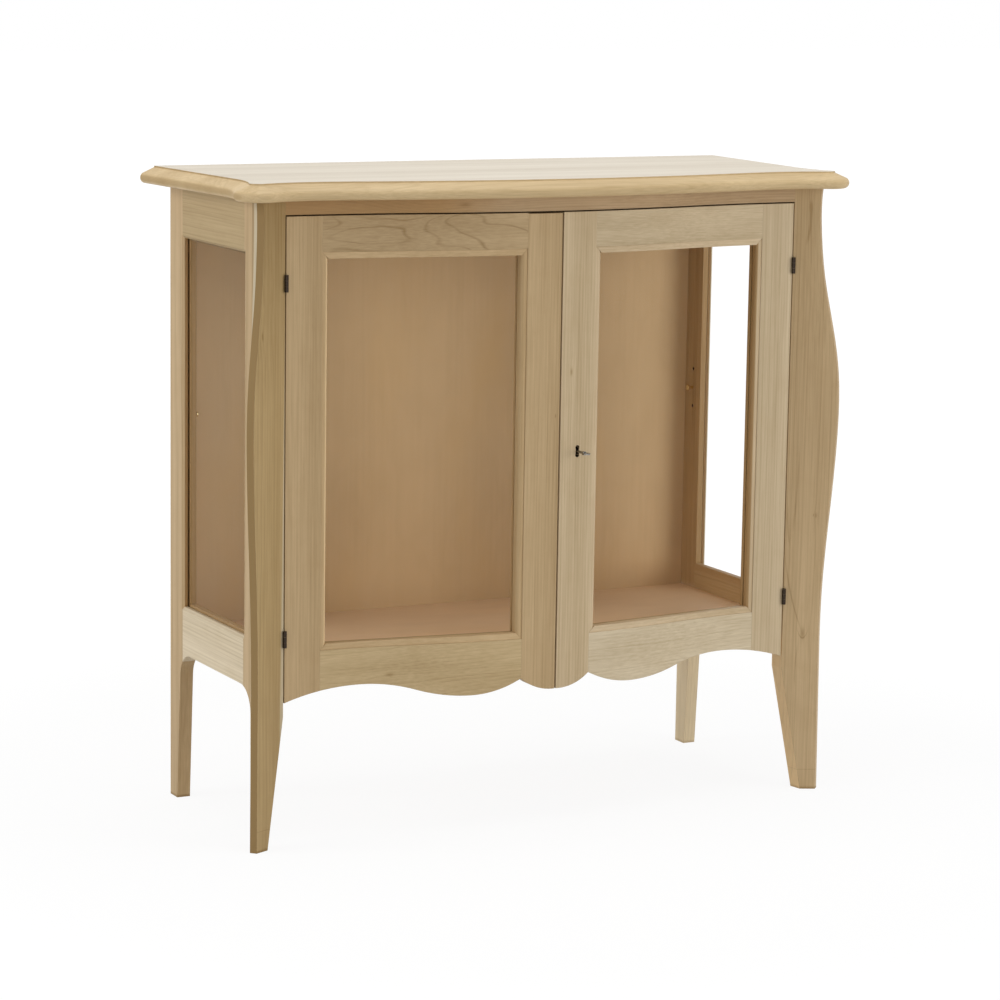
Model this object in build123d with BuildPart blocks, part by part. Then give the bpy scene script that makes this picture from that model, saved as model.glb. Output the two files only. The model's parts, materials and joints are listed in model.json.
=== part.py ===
from build123d import *
from math import asin, atan, atan2, cos, degrees, hypot, pi, radians, sin, sqrt
import os

# A raw wood display cabinet on four tall legs: a serpentine front with two glazed doors, glazed sides,
# swelling corner legs and a moulded top. Millimetres, +Z up, the front faces -Y, and the origin is on the
# floor under the middle of the whole. A depth is measured from the back of the back legs to the front.

# The carcase
height = 1020
top_thickness = 27
half_width = 484
leg_width = 38
body_depth = 369
board_thickness = 22
bow_depth = 46
top_rail_face = 22.5

# The top board's outline and its moulded edge
top_front_reach = 7
top_dip_reach = 10.5
top_back_reach = 4
top_sway_share = 0.82
ear_spread = 68
ear_cove_radius = 198
ear_cove_turn = 23
ear_corner_radius = 9
ear_flat = 6
side_taper = 3.1
edge_reach = 23.4
nose_radius = 8.8
edge_quirk = 2.2

# The corner legs, whose outer edge swells out along the diagonal
leg_lead = 3
leg_edge_width = 11
leg_inner_depth = 30
leg_station_count = 12
top_swell = 11
neck_swell = 10
belly_swell = 47.5
ankle_swell = 27
toe_swell = 29
neck_drop = 58
belly_height = 650
ankle_height = 270
toe_inset = 6
toe_front = 14
heel_long = 10
heel_short = 8.5

# The side frames
back_leg_width = 52
back_leg_knee = 42
back_leg_toe = 29
side_stile_width = 29
side_window_bottom = 319
side_top_rail_height = 83
window_chamfer = 4
side_rail_bottom = 243
arch_drop = 40
glass_thickness = 3
side_lip = 9
side_rebate = 8
bead_proud = 4

# The back, the floor and what carries them
back_thickness = 4
back_rebate_width = 10
back_rebate_depth = 6
back_rail_thickness = 20
back_top_rail_height = 50
floor_top = 280
floor_thickness = 16
floor_rail_height = 18
bearer_width = 20
stop_height = 38
stop_thickness = 18
front_rail_thickness = 20

# The doors
door_thickness = 24
hinge_gap = 1.9
meeting_gap = 2.6
door_top_gap = 2.3
door_back_gap = 1
stile_width = 58.5
door_rail_height = 55
door_bottom = 217.4
door_bottom_rail_height = 84.6
door_tip_rise = 0.6
door_corner_rise = 6.6
apron_arch_rise = 27.1
apron_arch_inset = 126
apron_lobe_inset = 84
apron_cusp_rise = 21.6
stile_tip_flat = 4
stile_trim = 1.2
moulding_width = 10
moulding_setback = 1
moulding_round = 6
door_glass_depth = 13
door_bead_width = 9
door_bead_thickness = 6
glass_play = 1
mitre_gap = 0.1

# The hinges
hinge_height = 26
hinge_leaf_width = 20
hinge_leaf_thickness = 1.2
hinge_lead = 3.3
knuckle_radius = 3
knuckle_gap = 0.3
hinge_pin_radius = 1.25
pin_fit = 0.05
hinge_inset = 100
leaf_gap = 0.5

# The lock, its key and the strike
lock_height = 594
lock_inset = 30.7
lock_tall = 56
lock_deep = 13
lock_wall = 1.5
forend_margin = 8
keyhole_tall = 19
keyhole_wide = 5.6
keyhole_lobe_radius = 3.5
key_shank_radius = 2
key_bow_radius = 6.5
key_bow_hole = 3.6
key_bow_thickness = 2.4
key_reach = 36
key_collar_radius = 3.2
key_collar_length = 3
key_bit_reach = 7
key_bit_length = 6
key_bit_thickness = 2
key_bit_clearance = 1
key_end_clearance = 1.5
bolt_tall = 12
bolt_thick = 6
bolt_length = 38
bolt_notch = 8
bolt_notch_rise = 3
bolt_set_in = 0.5
bolt_return = 3
bolt_spare = 3
bolt_throw = 9
bolt_play = 0.4
strike_thickness = 1.2
strike_side_margin = 2.5
strike_end_margin = 8
strike_play = 1.2

# The two small slide bolts that hold the left door
slide_inset = 30
slide_rod_radius = 2.5
slide_rod_length = 62
slide_plate_width = 16
slide_plate_length = 44
slide_plate_thickness = 1.5
slide_plate_end_gap = 5
slide_let_in = 0.3
slide_guide_length = 8
slide_guide_width = 11
slide_stand = 4.5
slide_knob_radius = 3.5
slide_knob_length = 7
slide_travel = 9
slide_clearance = 1.5
slide_hole_play = 0.6

# The shelf pins and their holes, on the usual 32 mm pitch
pin_pitch = 32
pin_middle_height = 626.5
pin_radius = 2.5
pin_hole_depth = 10
pin_proud = 11
pin_head_radius = 4.5
pin_head_length = 2
pin_back_depth = 32
pin_hole_rows = 3

# Places that follow from the sizes above
carcase_top = height - top_thickness
opening_half = half_width - leg_width
inner_half = half_width - board_thickness
front_reach = body_depth + bow_depth + top_front_reach + edge_reach
rear_y = (front_reach - top_back_reach) / 2
hinge_y = rear_y - body_depth
bow_turn = degrees(2 * atan(bow_depth / opening_half))
bow_radius = (opening_half**2 + bow_depth**2) / (4 * bow_depth)
door_outer = opening_half - hinge_gap
door_inner = meeting_gap / 2
door_window_outer = door_outer - stile_width
door_window_inner = door_inner + stile_width
door_top = carcase_top - top_rail_face - door_top_gap
door_window_top = door_top - door_rail_height
door_window_bottom = door_bottom + door_bottom_rail_height
door_corner_height = door_bottom + door_corner_rise
door_window_middle = (door_window_top + door_window_bottom) / 2
far = 2 * height
stop_front = door_thickness + door_back_gap
hinge_heights = (door_corner_height + hinge_inset, door_top - hinge_inset)
side_stile_front = body_depth - leg_width
side_window_top = carcase_top - side_top_rail_height


def depth_at(x):
    """Depth of the door faces at x: two tangent arcs of one radius on each half of the front."""
    x = abs(x)
    if x < opening_half / 2:
        return body_depth + bow_depth - (bow_radius - sqrt(bow_radius**2 - x**2))
    return body_depth + bow_radius - sqrt(bow_radius**2 - (opening_half - x) ** 2)


def bow_line(behind):
    """The serpentine front line in plan, from left to right, this far behind the door faces."""
    side_y = hinge_y - bow_radius
    middle_y = hinge_y - bow_depth + bow_radius
    CenterArc((-opening_half, side_y), bow_radius + behind, 90 - bow_turn, bow_turn)
    CenterArc((0, middle_y), bow_radius - behind, 270 - bow_turn, 2 * bow_turn)
    CenterArc((opening_half, side_y), bow_radius + behind, 90, bow_turn)


def bow_band(bottom, top, front, back, mode=Mode.ADD):
    """A slab between two serpentine lines, from one height to another."""
    with BuildSketch(Plane.XY.offset(bottom)) as plan:
        with BuildLine():
            bow_line(front)
            bow_line(back)
            for side in (-opening_half, opening_half):
                Line((side, hinge_y + front), (side, hinge_y + back))
        make_face()
    extrude(plan.sketch, amount=top - bottom, mode=mode)


def plan_box(x0, x1, depth0, depth1, bottom, top, mode=Mode.ADD):
    """A block between two sides, two depths and two heights."""
    with BuildSketch(Plane.XY.offset(bottom)) as plan:
        with Locations(((x0 + x1) / 2, rear_y - (depth0 + depth1) / 2)):
            Rectangle(x1 - x0, depth1 - depth0)
    extrude(plan.sketch, amount=top - bottom, mode=mode)


def mirrored(piece):
    """The same piece on the left side."""
    with BuildPart() as twin:
        mirror(piece.part, about=Plane.YZ)
    return twin


pieces = {}


def keep(name, piece):
    """Name a finished piece, to be written at the end."""
    piece.part.label = name
    pieces[name] = piece.part


# Where the lock and the slide bolts sit on the backs of the meeting stiles
lock_x = door_inner + lock_inset
lock_width = bolt_set_in + bolt_length + bolt_return + bolt_spare + lock_wall
lock_back = depth_at(lock_x) - door_thickness
slide_seat_depth = depth_at(slide_inset) - door_thickness + slide_let_in
slide_plate_back = slide_seat_depth - slide_plate_thickness
slide_rod_depth = slide_plate_back - slide_stand
stop_bottom = carcase_top - stop_height


def slide_hole(start, amount):
    """The hole that a slide bolt enters, from this height."""
    with BuildSketch(Plane.XY.offset(start)) as mouth:
        with Locations((-slide_inset, rear_y - slide_rod_depth)):
            Circle(slide_rod_radius + slide_hole_play)
    extrude(mouth.sketch, amount=amount, mode=Mode.SUBTRACT)


# The top board. Its upper edge runs in plan from the middle of the front past the back, where it is cut off
sway_across = half_width - ear_spread
sway_along = bow_depth + top_front_reach - top_dip_reach
sway_angle = atan2(sway_along, sway_across)
sway_reach = hypot(sway_across, sway_along) / (2 * sin(sway_angle))
sway_turn = degrees(2 * sway_angle)
top_front_y = hinge_y - bow_depth - top_front_reach
top_back_y = rear_y + top_back_reach
ear_turn = 45 + ear_cove_turn

with BuildLine() as top_edge:
    swell = JernArc((0, top_front_y), (1, 0), top_sway_share * sway_reach, sway_turn)
    dip = JernArc(swell @ 1, swell % 1, (1 - top_sway_share) * sway_reach, -sway_turn)
    cove = JernArc(dip @ 1, dip % 1, ear_cove_radius, -ear_cove_turn)
    front_corner = JernArc(cove @ 1, cove % 1, ear_corner_radius, ear_turn)
    flat = Line(front_corner @ 1, front_corner @ 1 + (front_corner % 1) * ear_flat)
    side_corner = JernArc(flat @ 1, flat % 1, ear_corner_radius, ear_turn)
    side_cove = JernArc(side_corner @ 1, side_corner % 1, ear_cove_radius, -ear_cove_turn - side_taper)
    side_start = side_cove @ 1
    side_way = side_cove % 1
    side_end = side_start + side_way * ((top_back_y + edge_reach - side_start.Y) / side_way.Y)
    side = Line(side_start, side_end)

# The edge's section: a small step, a slope, and a round nose that the slope runs into
nose_out = edge_reach - nose_radius
nose_down = top_thickness - nose_radius
to_nose = hypot(nose_out, nose_down - edge_quirk)
slope = atan2(nose_down - edge_quirk, nose_out) - asin(nose_radius / to_nose)
slope_length = sqrt(to_nose**2 - nose_radius**2)
slope_end = (slope_length * cos(slope), edge_quirk + slope_length * sin(slope))
edge_root = ear_corner_radius / 2

with BuildPart() as right_half_top:
    with BuildSketch(Plane((0, top_front_y, height), x_dir=(0, -1, 0), z_dir=(1, 0, 0))):
        with BuildLine():
            nose_foot = (nose_out, top_thickness)
            Polyline(nose_foot, (-edge_root, top_thickness), (-edge_root, 0), (0, 0))
            Polyline((0, 0), (0, edge_quirk), slope_end)
            TangentArc(slope_end, nose_foot, tangent=(cos(slope), sin(slope)))
        make_face()
    sweep(path=top_edge.wire())
    with BuildSketch(Plane.XY.offset(height)):
        with BuildLine():
            add(top_edge.line)
            Polyline(side_end, (0, side_end.Y), (0, top_front_y))
        make_face()
    extrude(amount=-top_thickness)
    split(bisect_by=Plane.XZ.offset(-top_back_y), keep=Keep.TOP)

with BuildPart() as top_board:
    add(right_half_top)
    mirror(about=Plane.YZ)
keep("top_board", top_board)


# The corner legs. Their outer edge is cut square to the diagonal and moves out and in along it
swell_stations = (
    (0, toe_swell),
    (ankle_height, ankle_swell),
    (belly_height, belly_swell),
    (carcase_top - neck_drop, neck_swell),
    (carcase_top, top_swell),
)
arch_foot = side_rail_bottom - arch_drop


def swell_at(z):
    """How far the leg's outer edge stands out along the diagonal, on a cosine between the stations."""
    for (low, start), (high, end) in zip(swell_stations, swell_stations[1:]):
        if z <= high:
            return start + (end - start) * (1 - cos(pi * (z - low) / (high - low))) / 2
    return top_swell


def leg_section(z):
    """The right leg's six corners in plan at this height: straight above the arch, tapered below it."""
    taper = max(0, 1 - z / arch_foot)
    out = swell_at(z) / sqrt(2)
    edge = leg_edge_width / 2 / sqrt(2)
    body = (
        (opening_half, body_depth),
        (half_width, side_stile_front),
        (opening_half + heel_short, side_stile_front),
        (opening_half, body_depth - leg_inner_depth),
    )
    corner_depth = body_depth + leg_lead
    toe = (
        (half_width - toe_inset, corner_depth + toe_front),
        (half_width + toe_front, corner_depth - toe_inset),
        (half_width - heel_short, corner_depth - heel_long),
        (half_width - heel_long, corner_depth - heel_short),
    )
    inner, outer, heel_side, heel = (
        (b[0] + (t[0] - b[0]) * taper, b[1] + (t[1] - b[1]) * taper) for b, t in zip(body, toe)
    )
    front = (half_width + out - edge, corner_depth + out + edge)
    rear = (half_width + out + edge, corner_depth + out - edge)
    return [(x, rear_y - depth) for x, depth in (inner, front, rear, outer, heel_side, heel)]


def leg_loft(heights, ruled):
    """One stretch of the leg through its sections at these heights."""
    sections = []
    for z in heights:
        with BuildSketch(Plane.XY.offset(z)) as section:
            Polygon(*leg_section(z), align=None)
        sections.append(section.sketch)
    loft(sections, ruled=ruled)


leg_step = (carcase_top - arch_foot) / (leg_station_count - 1)
hinge_x = opening_half - hinge_gap / 2
hinge_axis_depth = body_depth + hinge_lead
leaf_back = body_depth - hinge_leaf_width
frame_leaf_x0 = hinge_x + leaf_gap / 2
door_leaf_x1 = hinge_x - leaf_gap / 2

with BuildPart() as right_front_leg:
    leg_loft((0, arch_foot), ruled=True)
    leg_loft([arch_foot + leg_step * i for i in range(leg_station_count)], ruled=False)
    for z in hinge_heights:
        low, high = z - hinge_height / 2, z + hinge_height / 2
        plan_box(hinge_x, frame_leaf_x0 + hinge_leaf_thickness, leaf_back, far, low, high, Mode.SUBTRACT)
keep("front_leg_right", right_front_leg)
keep("front_leg_left", mirrored(right_front_leg))

# The side frames: one outline cut into back leg, two rails and the stile against the corner leg
window_back = back_leg_width
window_front = side_stile_front - side_stile_width
window_width = window_front - window_back
window_height = side_window_top - side_window_bottom
window_y = rear_y - (window_front + window_back) / 2
window_z = (side_window_top + side_window_bottom) / 2
arch_back = (rear_y - back_leg_knee - arch_drop, side_rail_bottom)
arch_front = (rear_y - side_stile_front + arch_drop, side_rail_bottom)
rebate_depth = board_thickness - side_lip

with BuildPart() as side_blank:
    with BuildSketch(Plane.YZ.offset(inner_half)):
        with BuildLine():
            Polyline(
                (rear_y - back_leg_knee, arch_foot),
                (rear_y - back_leg_toe, 0),
                (rear_y, 0),
                (rear_y, carcase_top),
                (rear_y - side_stile_front, carcase_top),
                (rear_y - side_stile_front, arch_foot),
            )
            TangentArc(arch_front, (rear_y - side_stile_front, arch_foot), tangent=(-1, 0))
            Line(arch_front, arch_back)
            TangentArc(arch_back, (rear_y - back_leg_knee, arch_foot), tangent=(1, 0))
        make_face()
    extrude(amount=board_thickness)
    with BuildSketch(Plane.YZ.offset(inner_half)):
        with Locations((window_y, window_z)):
            Rectangle(window_width, window_height)
    extrude(amount=board_thickness, mode=Mode.SUBTRACT)
    outer_face = side_blank.faces().sort_by(Axis.X)[-1]
    chamfer(outer_face.inner_wires()[0].edges(), length=window_chamfer)
    with BuildSketch(Plane.YZ.offset(inner_half)):
        with Locations((window_y, window_z)):
            Rectangle(window_width + 2 * side_rebate, window_height + 2 * side_rebate)
    extrude(amount=rebate_depth, mode=Mode.SUBTRACT)
    rebate_x = inner_half + back_rebate_width
    plan_box(inner_half, rebate_x, 0, back_rebate_depth, side_rail_bottom, carcase_top, Mode.SUBTRACT)
    hole_depths = (pin_back_depth, side_stile_front - side_stile_width / 2)
    rows = [pin_middle_height + pin_pitch * (i - (pin_hole_rows - 1) / 2) for i in range(pin_hole_rows)]
    with BuildSketch(Plane.YZ.offset(inner_half)):
        with Locations(*[(rear_y - depth, z) for depth in hole_depths for z in rows]):
            Circle(pin_radius + pin_fit)
    extrude(amount=pin_hole_depth, mode=Mode.SUBTRACT)


def side_member(depth0, depth1, bottom, top):
    """The stretch of the side frame between two depths and two heights."""
    with BuildPart() as member:
        add(side_blank)
        plan_box(inner_half, half_width, depth0, depth1, bottom, top, Mode.INTERSECT)
    return member


side_members = {
    "back_leg": side_member(0, window_back, 0, carcase_top),
    "side_stile": side_member(window_front, side_stile_front, 0, carcase_top),
    "side_top_rail": side_member(window_back, window_front, window_z, carcase_top),
    "side_bottom_rail": side_member(window_back, window_front, 0, window_z),
}
for name, member in side_members.items():
    keep(name + "_right", member)
    keep(name + "_left", mirrored(member))


def mitred_strips(plane, across, along, width, thick):
    """Four strips round a rectangle of these outer sizes, mitred with a hairline at each corner."""
    signs = ((-1, 1), (1, 1), (1, -1), (-1, -1))
    for (u0, v0), (u1, v1) in zip(signs, signs[1:] + signs[:1]):
        start = Vector(u0 * across / 2, v0 * along / 2)
        end = Vector(u1 * across / 2, v1 * along / 2)
        gap = (end - start).normalized() * mitre_gap
        outline = (
            start + gap,
            end - gap,
            end - gap - Vector(u1, v1) * width,
            start + gap - Vector(u0, v0) * width,
        )
        with BuildSketch(plane) as strip:
            with BuildLine():
                Polyline(*outline, close=True)
            make_face()
        extrude(strip.sketch, amount=thick)


# The side panes sit against the lip and are held from inside by mitred beads
pane_side_width = window_width + 2 * (side_rebate - glass_play)
pane_side_height = window_height + 2 * (side_rebate - glass_play)
pane_side_x = inner_half + rebate_depth - glass_thickness
side_pane_plane = Plane((pane_side_x, window_y, window_z), x_dir=(0, 1, 0), z_dir=(1, 0, 0))
side_bead_plane = Plane((pane_side_x, window_y, window_z), x_dir=(0, -1, 0), z_dir=(-1, 0, 0))

with BuildPart() as side_glass:
    with BuildSketch(side_pane_plane):
        Rectangle(pane_side_width, pane_side_height)
    extrude(amount=glass_thickness)
keep("side_glass_right", side_glass)
keep("side_glass_left", mirrored(side_glass))

with BuildPart() as side_beads:
    mitred_strips(
        side_bead_plane,
        window_width + 2 * side_rebate,
        window_height + 2 * side_rebate,
        side_rebate + bead_proud,
        rebate_depth - glass_thickness,
    )
keep("side_beads_right", side_beads)
keep("side_beads_left", mirrored(side_beads))

# The back panel in its rebates, and the two rails that it is fixed to
back_inner = back_rebate_depth
with BuildPart() as back_panel:
    plan_box(-rebate_x, rebate_x, back_inner - back_thickness, back_inner, side_rail_bottom, carcase_top)
keep("back_panel", back_panel)

rail_front = back_inner + back_rail_thickness
with BuildPart() as back_top_rail:
    rail_bottom = carcase_top - back_top_rail_height
    plan_box(-inner_half, inner_half, back_inner, rail_front, rail_bottom, carcase_top)
keep("back_top_rail", back_top_rail)

floor_bottom = floor_top - floor_thickness
bearer_bottom = floor_bottom - floor_rail_height
with BuildPart() as back_bottom_rail:
    plan_box(-inner_half, inner_half, back_inner, rail_front, bearer_bottom, floor_bottom)
keep("back_bottom_rail", back_bottom_rail)

# The front rails follow the doors. The top one has a lip over the doors and a stop behind them
stop_back = stop_front + stop_thickness
with BuildPart() as front_top_rail:
    bow_band(carcase_top - top_rail_face, carcase_top, 0, stop_back)
    bow_band(stop_bottom, carcase_top - top_rail_face, stop_front, stop_back)
    slide_hole(stop_bottom, slide_travel)
keep("front_top_rail", front_top_rail)

with BuildPart() as front_bottom_rail:
    bow_band(bearer_bottom, floor_bottom, stop_front, stop_front + front_rail_thickness)
keep("front_bottom_rail", front_bottom_rail)

# The floor stops short of the doors and is notched round the corner legs
with BuildPart() as floor_panel:
    with BuildSketch(Plane.XY.offset(floor_bottom)):
        with BuildLine():
            bow_line(stop_front)
            for side in (-1, 1):
                Polyline(
                    (side * opening_half, hinge_y + stop_front),
                    (side * opening_half, rear_y - side_stile_front),
                    (side * inner_half, rear_y - side_stile_front),
                    (side * inner_half, rear_y - back_inner),
                )
            Line((-inner_half, rear_y - back_inner), (inner_half, rear_y - back_inner))
        make_face()
    extrude(amount=floor_thickness)
    slide_hole(floor_top, -slide_travel)
keep("floor_panel", floor_panel)

with BuildPart() as floor_bearer:
    plan_box(inner_half - bearer_width, inner_half, rail_front, window_front, bearer_bottom, floor_bottom)
keep("floor_bearer_right", floor_bearer)
keep("floor_bearer_left", mirrored(floor_bearer))

with BuildPart() as top_cleat:
    cleat_bottom = carcase_top - floor_rail_height
    plan_box(inner_half - bearer_width, inner_half, rail_front, window_front, cleat_bottom, carcase_top)
keep("top_cleat_right", top_cleat)
keep("top_cleat_left", mirrored(top_cleat))

# Headed shelf pins in the middle hole of each corner
with BuildPart() as shelf_pins:
    for side in (-1, 1):
        for depth in hole_depths:
            seat_point = (side * (inner_half + pin_hole_depth), rear_y - depth, pin_middle_height)
            seat = Plane(seat_point, x_dir=(0, 1, 0), z_dir=(-side, 0, 0))
            with BuildSketch(seat):
                Circle(pin_radius)
            extrude(amount=pin_hole_depth + pin_proud)
            with BuildSketch(seat.offset(pin_hole_depth + pin_proud - pin_head_length)):
                Circle(pin_head_radius)
            extrude(amount=pin_head_length)
keep("shelf_pins", shelf_pins)


# The doors. Their front outline, with the cusped apron along the bottom, is cut from one bowed slab
apron_peak = (door_outer - apron_arch_inset, door_bottom + apron_arch_rise)
apron_lobe = (door_window_inner + apron_lobe_inset, door_bottom)
apron_turn = ((apron_peak[0] + apron_lobe[0]) / 2, (apron_peak[1] + apron_lobe[1]) / 2)
apron_cusp = (door_window_inner, door_bottom + apron_cusp_rise)
door_tip_height = door_bottom + door_tip_rise

with BuildPart() as door_slab:
    with BuildSketch(Plane.XZ):
        with BuildLine():
            TangentArc(apron_peak, (door_outer, door_corner_height), tangent=(1, 0))
            falling = TangentArc(apron_peak, apron_turn, tangent=(-1, 0))
            TangentArc(apron_turn, apron_lobe, tangent=falling % 1)
            TangentArc(apron_lobe, apron_cusp, tangent=(-1, 0))
            tip = (door_inner + stile_tip_flat, door_tip_height)
            TangentArc(tip, apron_cusp, tangent=(1, 0))
            Polyline(
                tip,
                (door_inner, door_tip_height),
                (door_inner, door_top),
                (door_outer, door_top),
                (door_outer, door_corner_height),
            )
        make_face()
    extrude(amount=far, both=True)
    bow_band(0, height, 0, door_thickness, Mode.INTERSECT)


def door_member(x0, x1, bottom, top):
    """The stretch of the right door's slab between two sides and two heights."""
    with BuildPart() as member:
        add(door_slab)
        plan_box(x0, x1, 0, far, bottom, top, Mode.INTERSECT)
    return member


# Each pane is flat, along the chord of the door's sweep across its window
def on_face(x):
    """The point of the door's face at x, in plan."""
    return Vector(x, rear_y - depth_at(x))


window_across = door_window_outer - door_window_inner
window_up = door_window_top - door_window_bottom
window_x = (door_window_inner + door_window_outer) / 2
window_plane = Plane((window_x, 0, door_window_middle), x_dir=(1, 0, 0), z_dir=(0, -1, 0))
chord = on_face(door_window_outer) - on_face(door_window_inner)
chord_way = chord.normalized()
chord_y = rear_y - (depth_at(door_window_outer) + depth_at(door_window_inner)) / 2


def pane_plane(behind):
    """The plane along the chord this far behind it, centred on the window."""
    return Plane(
        (window_x, chord_y + behind / chord_way.X, door_window_middle),
        x_dir=(chord_way.X, chord_way.Y, 0),
        z_dir=(chord_way.Y, -chord_way.X, 0),
    )


glass_front_plane = pane_plane(door_glass_depth)

with BuildPart() as moulding_strips:
    mitred_strips(window_plane.offset(-far / 2), window_across, window_up, moulding_width, far)
    bow_band(0, height, moulding_setback, door_thickness, Mode.INTERSECT)
    with BuildSketch(glass_front_plane):
        Rectangle(far, far)
    extrude(amount=-far, mode=Mode.SUBTRACT)


def sight_edge(edge):
    """True for the front edge of a strip on the side that faces the pane."""
    centre = edge.center()
    beside = window_across / 2 - moulding_width - abs(centre.X - window_x)
    above = window_up / 2 - moulding_width - abs(centre.Z - door_window_middle)
    in_front = glass_front_plane.to_local_coords(centre).Z > door_glass_depth / 2
    return min(abs(beside), abs(above)) < mitre_gap and in_front and edge.length > window_across / 2


with BuildPart() as door_moulding:
    add(moulding_strips)
    fillet(door_moulding.edges().filter_by(sight_edge), radius=moulding_round)
keep("door_moulding_right", door_moulding)
keep("door_moulding_left", mirrored(door_moulding))

pane_across = chord.length - 2 * glass_play
with BuildPart() as door_glass:
    with BuildSketch(glass_front_plane):
        Rectangle(pane_across, window_up - 2 * glass_play)
    extrude(amount=-glass_thickness)
keep("door_glass_right", door_glass)
keep("door_glass_left", mirrored(door_glass))

with BuildPart() as door_beads:
    bead_plane = pane_plane(door_glass_depth + glass_thickness)
    mitred_strips(bead_plane, pane_across, window_up, door_bead_width, -door_bead_thickness)
keep("door_beads_right", door_beads)
keep("door_beads_left", mirrored(door_beads))

top_rail = door_member(door_window_inner, door_window_outer, door_window_top, door_top)
bottom_rail = door_member(door_window_inner, door_window_outer, 0, door_window_bottom)
keep("door_top_rail_right", top_rail)
keep("door_top_rail_left", mirrored(top_rail))
keep("door_bottom_rail_right", bottom_rail)
keep("door_bottom_rail_left", mirrored(bottom_rail))

with BuildPart() as hinge_stile:
    add(door_member(door_window_outer, door_outer, 0, door_top))
    for z in hinge_heights:
        low, high = z - hinge_height / 2, z + hinge_height / 2
        plan_box(door_leaf_x1 - hinge_leaf_thickness, hinge_x, leaf_back, far, low, high, Mode.SUBTRACT)
keep("door_hinge_stile_right", hinge_stile)
keep("door_hinge_stile_left", mirrored(hinge_stile))

# The hinges: frame leaves with two outer knuckles that hold the pin, and door leaves that turn on it
knuckle_length = (hinge_height - 2 * knuckle_gap) / 3
middle_span = (-knuckle_length / 2, knuckle_length / 2)
low_span = (-hinge_height / 2, -hinge_height / 2 + knuckle_length)
high_span = (hinge_height / 2 - knuckle_length, hinge_height / 2)
knuckle_back = hinge_axis_depth - knuckle_radius - knuckle_gap


def hinge_round(bottom, top, radius, mode=Mode.ADD):
    """A round on the hinge's axis between two heights."""
    with BuildSketch(Plane.XY.offset(bottom)) as ring:
        with Locations((hinge_x, rear_y - hinge_axis_depth)):
            Circle(radius)
    extrude(ring.sketch, amount=top - bottom, mode=mode)


def hinge_leaves(x0, own_spans, other_spans):
    """Both leaves of one kind: plates in the gap, each with its own knuckles and room for the other's."""
    for z in hinge_heights:
        low, high = z - hinge_height / 2, z + hinge_height / 2
        plan_box(x0, x0 + hinge_leaf_thickness, leaf_back, hinge_axis_depth, low, high)
        for start, end in other_spans:
            low, high = z + start - knuckle_gap, z + end + knuckle_gap
            plan_box(x0, x0 + hinge_leaf_thickness, knuckle_back, far, low, high, Mode.SUBTRACT)
        for start, end in own_spans:
            hinge_round(z + start, z + end, knuckle_radius)


with BuildPart() as frame_leaves:
    hinge_leaves(frame_leaf_x0, (low_span, high_span), (middle_span,))
    for z in hinge_heights:
        hinge_round(z + low_span[1], z + high_span[0], hinge_pin_radius)
keep("hinge_frame_leaves_right", frame_leaves)
keep("hinge_frame_leaves_left", mirrored(frame_leaves))

with BuildPart() as door_leaves:
    hinge_leaves(door_leaf_x1 - hinge_leaf_thickness, (middle_span,), (low_span, high_span))
    for z in hinge_heights:
        hinge_round(z + middle_span[0], z + middle_span[1], hinge_pin_radius + pin_fit, Mode.SUBTRACT)
keep("hinge_door_leaves_right", door_leaves)
keep("hinge_door_leaves_left", mirrored(door_leaves))

# The lock is let into the back of the right meeting stile, with its front plate on the door's edge
lock_front = lock_back + lock_deep
lock_middle = lock_back + lock_deep / 2
lock_low = lock_height - lock_tall / 2
lock_high = lock_height + lock_tall / 2
forend_half = lock_deep / 2 - lock_wall / 2
bolt_height = lock_height + key_bit_reach + key_bit_clearance + bolt_tall / 2
key_front = depth_at(lock_x) + key_reach


def lock_outline(mode):
    """The lock's outer block and its front plate."""
    plan_box(door_inner, door_inner + lock_width, lock_back, lock_front, lock_low, lock_high, mode)
    plan_box(
        door_inner,
        door_inner + lock_wall,
        lock_middle - forend_half,
        lock_middle + forend_half,
        lock_low - forend_margin,
        lock_high + forend_margin,
        mode,
    )


def keyhole(depth0, depth1):
    """A keyhole, as wide at both ends as a round and narrower between, through these depths."""
    with BuildSketch(Plane.XZ.offset(depth0 - rear_y)) as hole:
        with Locations((lock_x, lock_height)):
            Rectangle(keyhole_wide, keyhole_tall - 2 * keyhole_lobe_radius)
        lobe_rise = keyhole_tall / 2 - keyhole_lobe_radius
        with Locations((lock_x, lock_height - lobe_rise), (lock_x, lock_height + lobe_rise)):
            Circle(keyhole_lobe_radius)
    extrude(hole.sketch, amount=depth1 - depth0, mode=Mode.SUBTRACT)


def bolt_block(x0, x1, play, mode):
    """A block on the bolt's line between two sides, this much larger all round than the bolt."""
    plan_box(
        x0,
        x1,
        lock_middle - bolt_thick / 2 - play,
        lock_middle + bolt_thick / 2 + play,
        bolt_height - bolt_tall / 2 - play,
        bolt_height + bolt_tall / 2 + play,
        mode,
    )


meeting_blank = door_member(door_inner, door_window_inner, 0, door_top)

with BuildPart() as right_meeting_stile:
    add(meeting_blank)
    lock_outline(Mode.SUBTRACT)
    keyhole(lock_middle, far)
keep("door_meeting_stile_right", right_meeting_stile)

with BuildPart() as lock_case:
    lock_outline(Mode.ADD)
    plan_box(
        door_inner + lock_wall,
        door_inner + lock_width - lock_wall,
        lock_back + lock_wall,
        lock_front - lock_wall,
        lock_low + lock_wall,
        lock_high - lock_wall,
        Mode.SUBTRACT,
    )
    bolt_block(0, door_inner + 2 * lock_wall, bolt_play, Mode.SUBTRACT)
    keyhole(lock_middle, far)
keep("lock_case", lock_case)

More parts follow.
